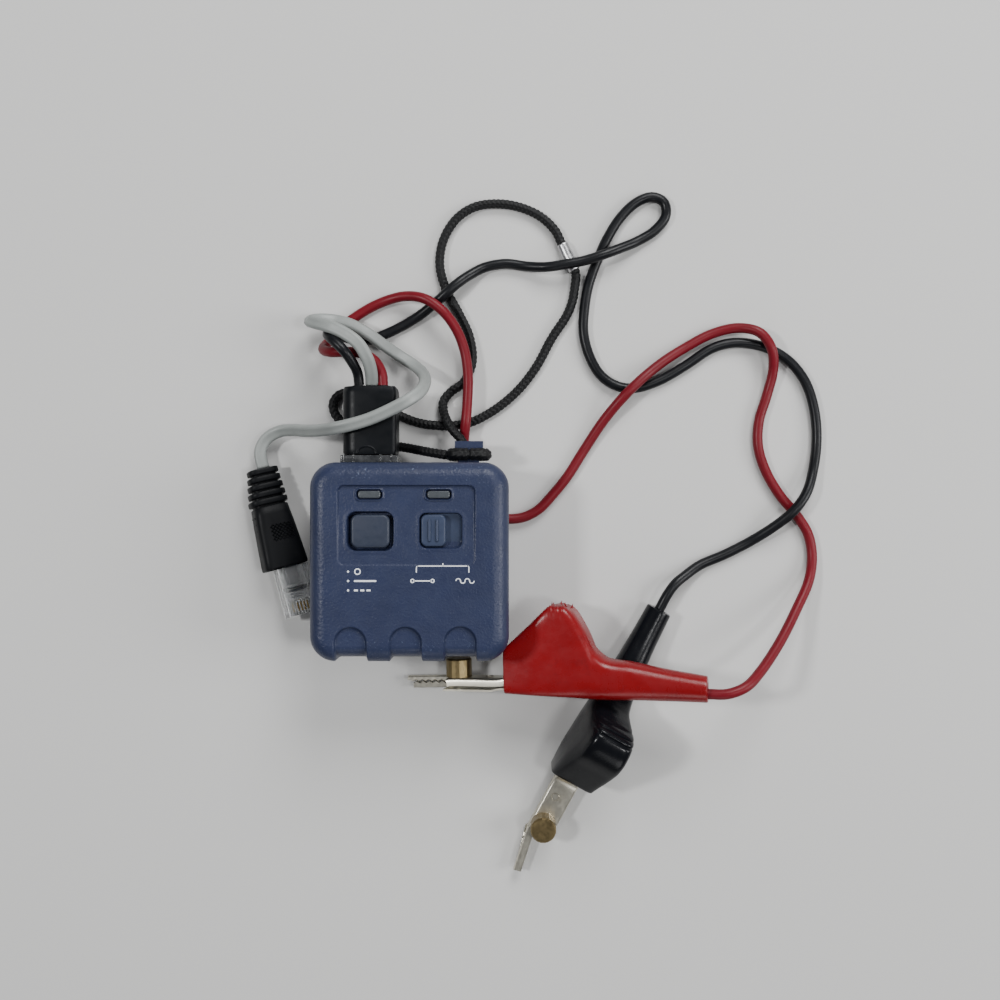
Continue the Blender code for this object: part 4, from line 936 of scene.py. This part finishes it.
def boot_mesh(matrix, pleats):
    """A clip's sleeve as a closed skin: the hollow behind its mouth, the rolled rim and the outside."""
    mouth, tail = BOOT_STATIONS[0][0], 91.7
    rings = []
    for depth, inset in ((14.0, 1.1), (8.0, 1.1), (3.0, 1.0), (0.6, 0.95), (0.12, 0.80)):
        rings.append(boot_section(mouth + depth, inset))
    for inset, push in ((0.55, 0.0), (0.25, 0.02), (0.06, 0.12)):
        rings.append(boot_section(mouth, inset, push))
    steps = 170
    for i in range(steps + 1):
        along = mouth + 0.35 + (tail - mouth - 0.35) * i / steps
        low, high = station_at(along)[:2]
        ring = []
        for x, rise, side in boot_section(along, 0.0):
            share = (rise - low) / (high - low)
            rise += pleat(along, share, side) if pleats else -grooves(along, share)
            ring.append((x, rise, side))
        rings.append(ring)
    for inset, push in ((0.10, 0.35), (0.35, 0.5), (1.9, 0.5), (2.2, 0.3), (2.25, -6.0)):
        rings.append(boot_section(tail, inset, push))
    settle = slid_back if pleats else leaning
    sleeve = skin([[matrix @ (Vector(settle(*p)) * MM) for p in ring] for ring in rings], 38)
    if pleats:
        sleeve = merged([sleeve, *nicks(matrix)], 38, Matrix())
    return sleeve


def slid_back(along, rise, side):
    """The soft sleeve sits a little back on its jaws and bends at the tail."""
    back = 1.3 * (1 - flow(50.0, 92.0, along))
    return along + back, rise + 0.8 + 0.6 * flow(50.0, 92.0, along), side


def leaning(along, rise, side):
    """The stiff sleeve is pushed back on its jaws, with its hump leaning over."""
    back = 3.2 * (1 - flow(52.0, 84.0, along)) + 1.8 * math.exp(-((along - 48.0) / 5.0) ** 2)
    lean = 3.0 * flow(11.0, 27.0, rise)
    return along + back, rise, side + lean


def nicks(matrix):
    """Torn points along the soft sleeve's gathered tip."""
    spikes = []
    for index in range(9):
        along = 42.0 + index * 1.05 + random.uniform(-0.3, 0.3)
        low, high, half, square = station_at(along)
        side = random.uniform(-0.6, 0.75) * half
        root = Vector(slid_back(along, high - 0.35, side))
        tip = root + Vector((random.uniform(-0.5, 0.5), random.uniform(0.9, 1.6), random.uniform(-0.4, 0.4)))
        rings = []
        for share, radius in ((0.0, 0.42), (0.5, 0.22), (1.0, 0.05)):
            ring = circle(root.lerp(tip, share), RIGHT, UP, radius, 8)
            rings.append([matrix @ (p * MM) for p in ring])
        spikes.append(skin(rings))
    return spikes


def pleat(along, share, side):
    """Gathered folds at the tip of the soft sleeve's hump, and a crease behind it."""
    tip = 46.8
    near = math.exp(-((along - 46.5) / 4.4) ** 2) * flow(0.70, 1.0, share)
    folds = 0.42 * math.sin(math.atan2(side, along - tip) * 7.0) * min(abs(along - tip) / 1.5, 1.0)
    folds += 0.14 * math.sin(along * 6.1 - side * 1.7)
    crease = -0.45 * math.exp(-((along - 57.5) / 1.3) ** 2) * flow(0.55, 1.0, share)
    return near * folds + crease


def grooves(along, share):
    """Depth of three grooves behind the stiff sleeve's hump."""
    depth = sum(0.60 * math.exp(-((along - centre) / 0.40) ** 2) for centre in (48.8, 51.0, 53.2))
    return depth * flow(0.62, 0.85, share)


def jaw_web():
    """The web of a folded jaw, with a rolled flange down each side."""
    path = (
        (12.6, 5.75), (14.0, 5.9), (22.0, 5.95), (29.0, 5.95), (31.0, 6.4), (34.0, 8.8), (36.5, 10.0),
        (39.5, 10.8), (45.0, 22.4),
    )
    route = smooth_route([(x, y, 0.0) for x, y in path], 0.5)
    sheet, roll = 0.6, 0.8
    turns = (0.4, 0.8, 1.2, 1.57)
    rings = []
    for point, (tangent, side, normal) in zip(route, travelling_frames(route, AWAY)):
        up = Vector((-tangent.y, tangent.x, 0.0))
        drop = 2.1 * (1 - flow(31.0, 35.0, point.x)) + 0.02
        half = 4.1 - 0.9 * flow(31.0, 40.0, point.x)
        outline = [(-half, -drop), (-half, -0.75)]
        outline += [(-half + roll - roll * math.cos(a), roll * math.sin(a) - 0.50) for a in turns]
        outline += [(half - roll + roll * math.cos(a), roll * math.sin(a) - 0.50) for a in turns[::-1]]
        outline += [(half, -0.75), (half, -drop), (half - sheet, -drop), (half - sheet, -0.75)]
        outline += [(half - 1.2, -0.32), (-half + 1.2, -0.32), (-half + sheet, -0.75), (-half + sheet, -drop)]
        rings.append([point + up * h + UP * s for s, h in outline])
    return skin(rings, 42)


def jaw_nose():
    """The toothed nose, which runs on from one flange and turns a little to the side."""
    turn = math.radians(10.5)
    rings = []
    for step in range(66):
        back = 14.6 * step / 65
        tooth = 0.55 * abs((back / 2.0) % 1.0 - 0.5) * 2 * flow(1.0, 2.5, back)
        low = 4.45 + tooth - 1.2 * (1 - flow(0.0, 2.4, back))
        along = 13.0 - back * math.cos(turn)
        shift = -4.1 + back * math.sin(turn)
        outline = (
            (0.0, low), (0.0, 5.75), (0.18, 6.1), (0.5, 6.22), (2.1, 6.05), (2.5, 5.8), (2.55, low + 0.2),
            (2.3, low),
        )
        rings.append([Vector((along + s * math.sin(turn), h, shift + s)) for s, h in outline])
    return skin(rings, 42)


def jaw_plate(matrix):
    """The upper jaw: its web, its nose and a stamped ring."""
    stamp = []
    for k in range(29):
        angle = math.tau * (k % 28) / 28
        stamp.append([Vector((25.2 + r * math.cos(angle), h, -0.9 + r * math.sin(angle)))
                      for r, h in ((0.95, 6.2), (1.05, 6.40), (1.25, 6.40), (1.35, 6.2))])
    return merged([jaw_web(), jaw_nose(), skin(stamp, capped=False)], 42, matrix @ TO_METRES)


def spring_mesh(matrix):
    """A torsion spring: three turns round the pin, and an arm against each jaw."""
    px, py, half = 35.0, 5.5, 1.9
    path = [(43.5, 16.5, -half), (40.0, 11.6, -half)]
    for i in range(66):
        angle = math.radians(-35) + math.tau * i / 20
        path.append((px + 1.8 * math.cos(angle), py + 1.8 * math.sin(angle), -half + 2 * half * i / 65))
    points = [Vector(p) for p in path + [(40.0, 5.3, half), (45.5, 4.0, half)]]
    rings = []
    for point, (tangent, side, normal) in zip(points, travelling_frames(points, UP)):
        rings.append([matrix @ (p * MM) for p in circle(point, side, normal, 0.34, 10)])
    return skin(rings)


def make_clips():
    """Both clips: sleeve, spring and jaw plate for each, and the finishes of the carried jaw parts."""
    red = pvc("red_boot_pvc", (0.185, 0.0035, 0.006), 0.22, 0.34, (0.12, 0.004, 0.006),
              specular_ior_level=0.34)
    black = pvc("black_boot_pvc", (0.0036, 0.0040, 0.0055), 0.18, 0.28, (0.006, 0.007, 0.009),
                specular_ior_level=0.20)
    steel = metal("nickel_plate", (0.62, 0.59, 0.50), 0.30, 0.40, (0.42, 0.37, 0.28), 0.0)
    brass = metal("aged_brass", (0.235, 0.18, 0.09), 0.32, 0.48, (0.10, 0.072, 0.036), 0.12)
    for color, matrix, surface, plate_body, sleeve_bend, spring_bend in (
        ("red", RED_CLIP, red, ROOT, ((38, 6, 0), (28, -1, 0)), ((40, 8, 0), (43.5, 3.5, 0))),
        ("black", BLACK_CLIP, black, "black_jaw", ((40, 9, 0), (40, 24, 0)), ((39, 8, 0), (43, 15, 0))),
    ):
        for name, mesh, finish, slot, node, bend in (
            ("sleeve", boot_mesh(matrix, color == "red"), surface, f"{color}_pvc", "boot", sleeve_bend),
            ("coil_spring", spring_mesh(matrix), steel, "nickel_steel", "spring", spring_bend),
        ):
            bend = [matrix @ (Vector(p) * MM) for p in bend]
            add_piece(f"{color}_{name}", mesh, finish, f"{color}_jaw", (f"{color}_{node}",), bend)
        plate = f"{color}_jaw_plate"
        add_piece(plate, jaw_plate(matrix), steel, plate_body, (f"{color}_upper_jaw",))
        dress(steel, f"{color}_lower_jaw", f"{color}_pivot_pin", f"{color}_nail_bed")
        dress(brass, f"{color}_nail_cup", f"{color}_wire_crimp")


# ---------------------------------------------------------------- modular plug
PLUG_WAY = Vector((0.0126, -0.0453, 0.0021)).normalized()
PLUG_TOP = Vector((-0.0477, 0.0277, 0.0046))
PLUG_CONTACTS = [f"plug_contact_{number}" for number in range(1, 5)]


def plug_axes():
    """The plug's axes: x across, y from its underside to its contact side, z towards its tip."""
    across = PLUG_WAY.cross(UP).normalized()
    up = across.cross(PLUG_WAY)
    roll = Matrix.Rotation(-math.radians(27), 3, PLUG_WAY)
    axes = Matrix((roll @ -across, roll @ up, PLUG_WAY)).transposed().to_4x4()
    return Matrix.Translation(PLUG_TOP) @ axes


def plug_ring(z, shift, wide, tall, square):
    """A ring of the plug's boot at a distance from its cord end."""
    return [Vector((shift + x, y, z)) for x, y in squircle(wide, tall, square, 40)]


def hatching():
    """Crossed raised strokes on the plug's sleeve."""
    strokes = []
    for lean in (1, -1):
        for i in range(-6, 7):
            line = [(-0.6 + lean * s * 0.1 + i * 1.25, 20.6 + s * 0.1) for s in range(-26, 27)]
            line = [p for p in line if abs(p[0] + 0.6) < 3.4]
            if len(line) > 4:
                off, crest = Vector((0.16, 0.0, -0.16 * lean)), Vector((0.0, 0.42, 0.0))
                ends = [Vector((x, 4.30, z)) for x, z in (line[0], line[-1])]
                strokes.append(skin([[end - off, end + off, end + crest] for end in ends]))
    return strokes


def plug_sleeve():
    """The ribbed boot: five rings that widen to one side, then a body that opens round the plug."""
    profile = ((0.0, 0.30), (0.08, 0.08), (0.3, 0.0), (1.45, 0.0), (1.62, 0.12), (1.70, 1.0), (2.30, 1.0))
    rings = []
    for index in range(5):
        wide, tall = 4.8 + 0.30 * index, 3.4 + 0.22 * index
        for z, inset in profile:
            rings.append(plug_ring(2.4 * index + z, -0.6 - 0.2 * index, wide - inset, tall - inset, 3.4))
    for z, wide, tall, square in (
        (12.0, 5.3, 4.1, 3.4), (12.2, 5.55, 4.25, 3.5), (14.5, 5.75, 4.35, 3.6), (17.0, 6.0, 4.38, 3.9),
        (20.0, 6.2, 4.4, 4.2), (23.0, 6.4, 4.45, 4.4), (26.0, 6.6, 4.5, 4.6), (29.0, 6.8, 4.5, 4.8),
        (31.0, 6.9, 4.5, 4.8), (31.4, 6.8, 4.4, 4.8), (31.5, 6.6, 4.2, 4.8), (31.45, 5.9, 3.6, 4.8),
        (29.0, 5.9, 3.5, 4.8),
    ):
        rings.append(plug_ring(z, -1.4, wide, tall, square))
    parts = [skin(rings, 60), *hatching()]
    for index in range(7):
        z = 14.5 + index * 2.1
        parts.append(soft_block((-7.35 - 0.10 * index, -1.6, z), (-6.4, 1.8, z + 0.6), 0.2, 0.2))
    return parts


def plug_housing():
    """The clear housing: walls, floor, bars across its contact side and the comb between its contacts."""
    half, wall, low, high, base, tip = 4.83, 3.7, 3.3, 2.1, 31.8, 47.0
    parts = [soft_block(first, last, 0.2, 0.25) for first, last in (
        ((-half, -low, base), (half, -2.2, tip)), ((-half, -2.2, base), (-wall, high, tip)),
        ((wall, -2.2, base), (half, high, tip)), ((-half, high, base), (half, low, 38.2)),
        ((-half, high, 39.6), (half, low, 42.4)), ((-wall, -2.2, 46.0), (wall, 1.2, tip)),
    )]
    for index in range(5):
        x = (index - 2) * 1.02
        parts.append(soft_block((x - 0.22, -0.6, 42.4), (x + 0.22, 3.2, 46.9), 0.08, 0.1))
    for x in (-3.9, 3.9):
        parts.append(soft_block((x - 0.9, high, 42.4), (x + 0.9, low, tip), 0.2, 0.25))
    return parts


def plug_jacket():
    """The end of the flat cord inside the housing, with the folds where it is clamped."""
    parts = [soft_block((-2.3, -1.3, 29.6), (2.3, 1.3, 37.4), 0.9, 0.2)]
    for index in range(4):
        z = 37.8 + 1.05 * index
        first, last = (-2.2 + 0.12 * index, -1.2, z), (2.2 - 0.2 * index, 1.25, z + 0.6)
        parts.append(soft_block(first, last, 0.25, 0.2))
    return parts


def make_plug():
    """The plug's three pieces, with finishes for its contacts and latch."""
    place = plug_axes() @ TO_METRES
    rubber = pvc("plug_boot_rubber", (0.004, 0.0045, 0.0055), 0.40, 0.52, (0.008, 0.008, 0.010),
                 specular_ior_level=0.12)
    clear = clear_finish()
    jacket = pvc("cord_end_pvc", (0.060, 0.066, 0.078), 0.36, 0.52, (0.040, 0.044, 0.052))
    dress(metal("gilt", (0.62, 0.42, 0.14), 0.22, 0.36, (0.30, 0.17, 0.05), 0.05), *PLUG_CONTACTS)
    dress(clear, "plug_latch")
    sleeve, housing = merged(plug_sleeve(), 50, place), merged(plug_housing(), 45, place)
    return [
        add_piece("plug_sleeve", sleeve, rubber, replaces=("plug_boot",)),
        add_piece("plug_housing", housing, clear, replaces=("plug_body",)),
        add_piece("plug_jacket", merged(plug_jacket(), 40, place), jacket),
    ]


def make_insides():
    """Finishes for what shows only with the case open."""
    for finish, nodes in (
        (mottled("board_mask", (0.012, 0.12, 0.05), 0.25, 0.40, 0.15, 700.0, 2400.0), ["circuit_board"]),
        (mottled("moulded_black", (0.013, 0.013, 0.015), 0.38, 0.52),
         ["battery_snap", "tact_switch", "tact_plunger", "slide_actuator", "controller_chip"]),
        (mottled("battery_wrap", (0.025, 0.025, 0.030), 0.24, 0.36, 0.2, 120.0), ["battery"]),
        (mottled("coil_tape", (0.32, 0.25, 0.06), 0.5, 0.65, 0.12, 500.0), ["output_transformer"]),
        (mottled("capacitor_sleeve", (0.02, 0.03, 0.09), 0.25, 0.35, 0.1, 500.0), ["filter_capacitor"]),
        (mottled("led_resin", (0.75, 0.72, 0.60), 0.2, 0.3, 0.05, 900.0), ["led_left", "led_right"]),
    ):
        dress(finish.material, *nodes)
    plated = metal("zinc_plate", (0.56, 0.56, 0.57), 0.26, 0.42, (0.25, 0.24, 0.22), 0.0)
    dress(plated, "battery_door_screw", "slide_switch", *(f"case_screw_{number}" for number in range(1, 5)))
    return plated


def declare_cords(plug_pieces):
    """Gathers what is on each clip's lead and on the plug into lists that are not used."""
    for color, exit_point in (("red", (-0.0094, 0.0523, 0.0130)), ("black", (-0.0167, 0.0523, 0.0130))):
        on_it = [bpy.data.objects[f"{color}_{piece}"] for piece in ("sleeve", "jaw_plate", "coil_spring")]
        on_it += [NODES[f"{color}_{part}"] for part in CARRIED_PARTS]
    on_it = plug_pieces + [NODES[name] for name in ("plug_latch", *PLUG_CONTACTS)]


random.seed(7)
set_stage()
cords = make_cords()
blue = case_finish()
make_case(blue)
controls(blue)
printing()
make_block()
make_collar()
plated = make_insides()
make_hitch(bpy.data.materials["braided_cord"])
sleeve = ferrule(plated)
make_clips()
declare_cords(make_plug())
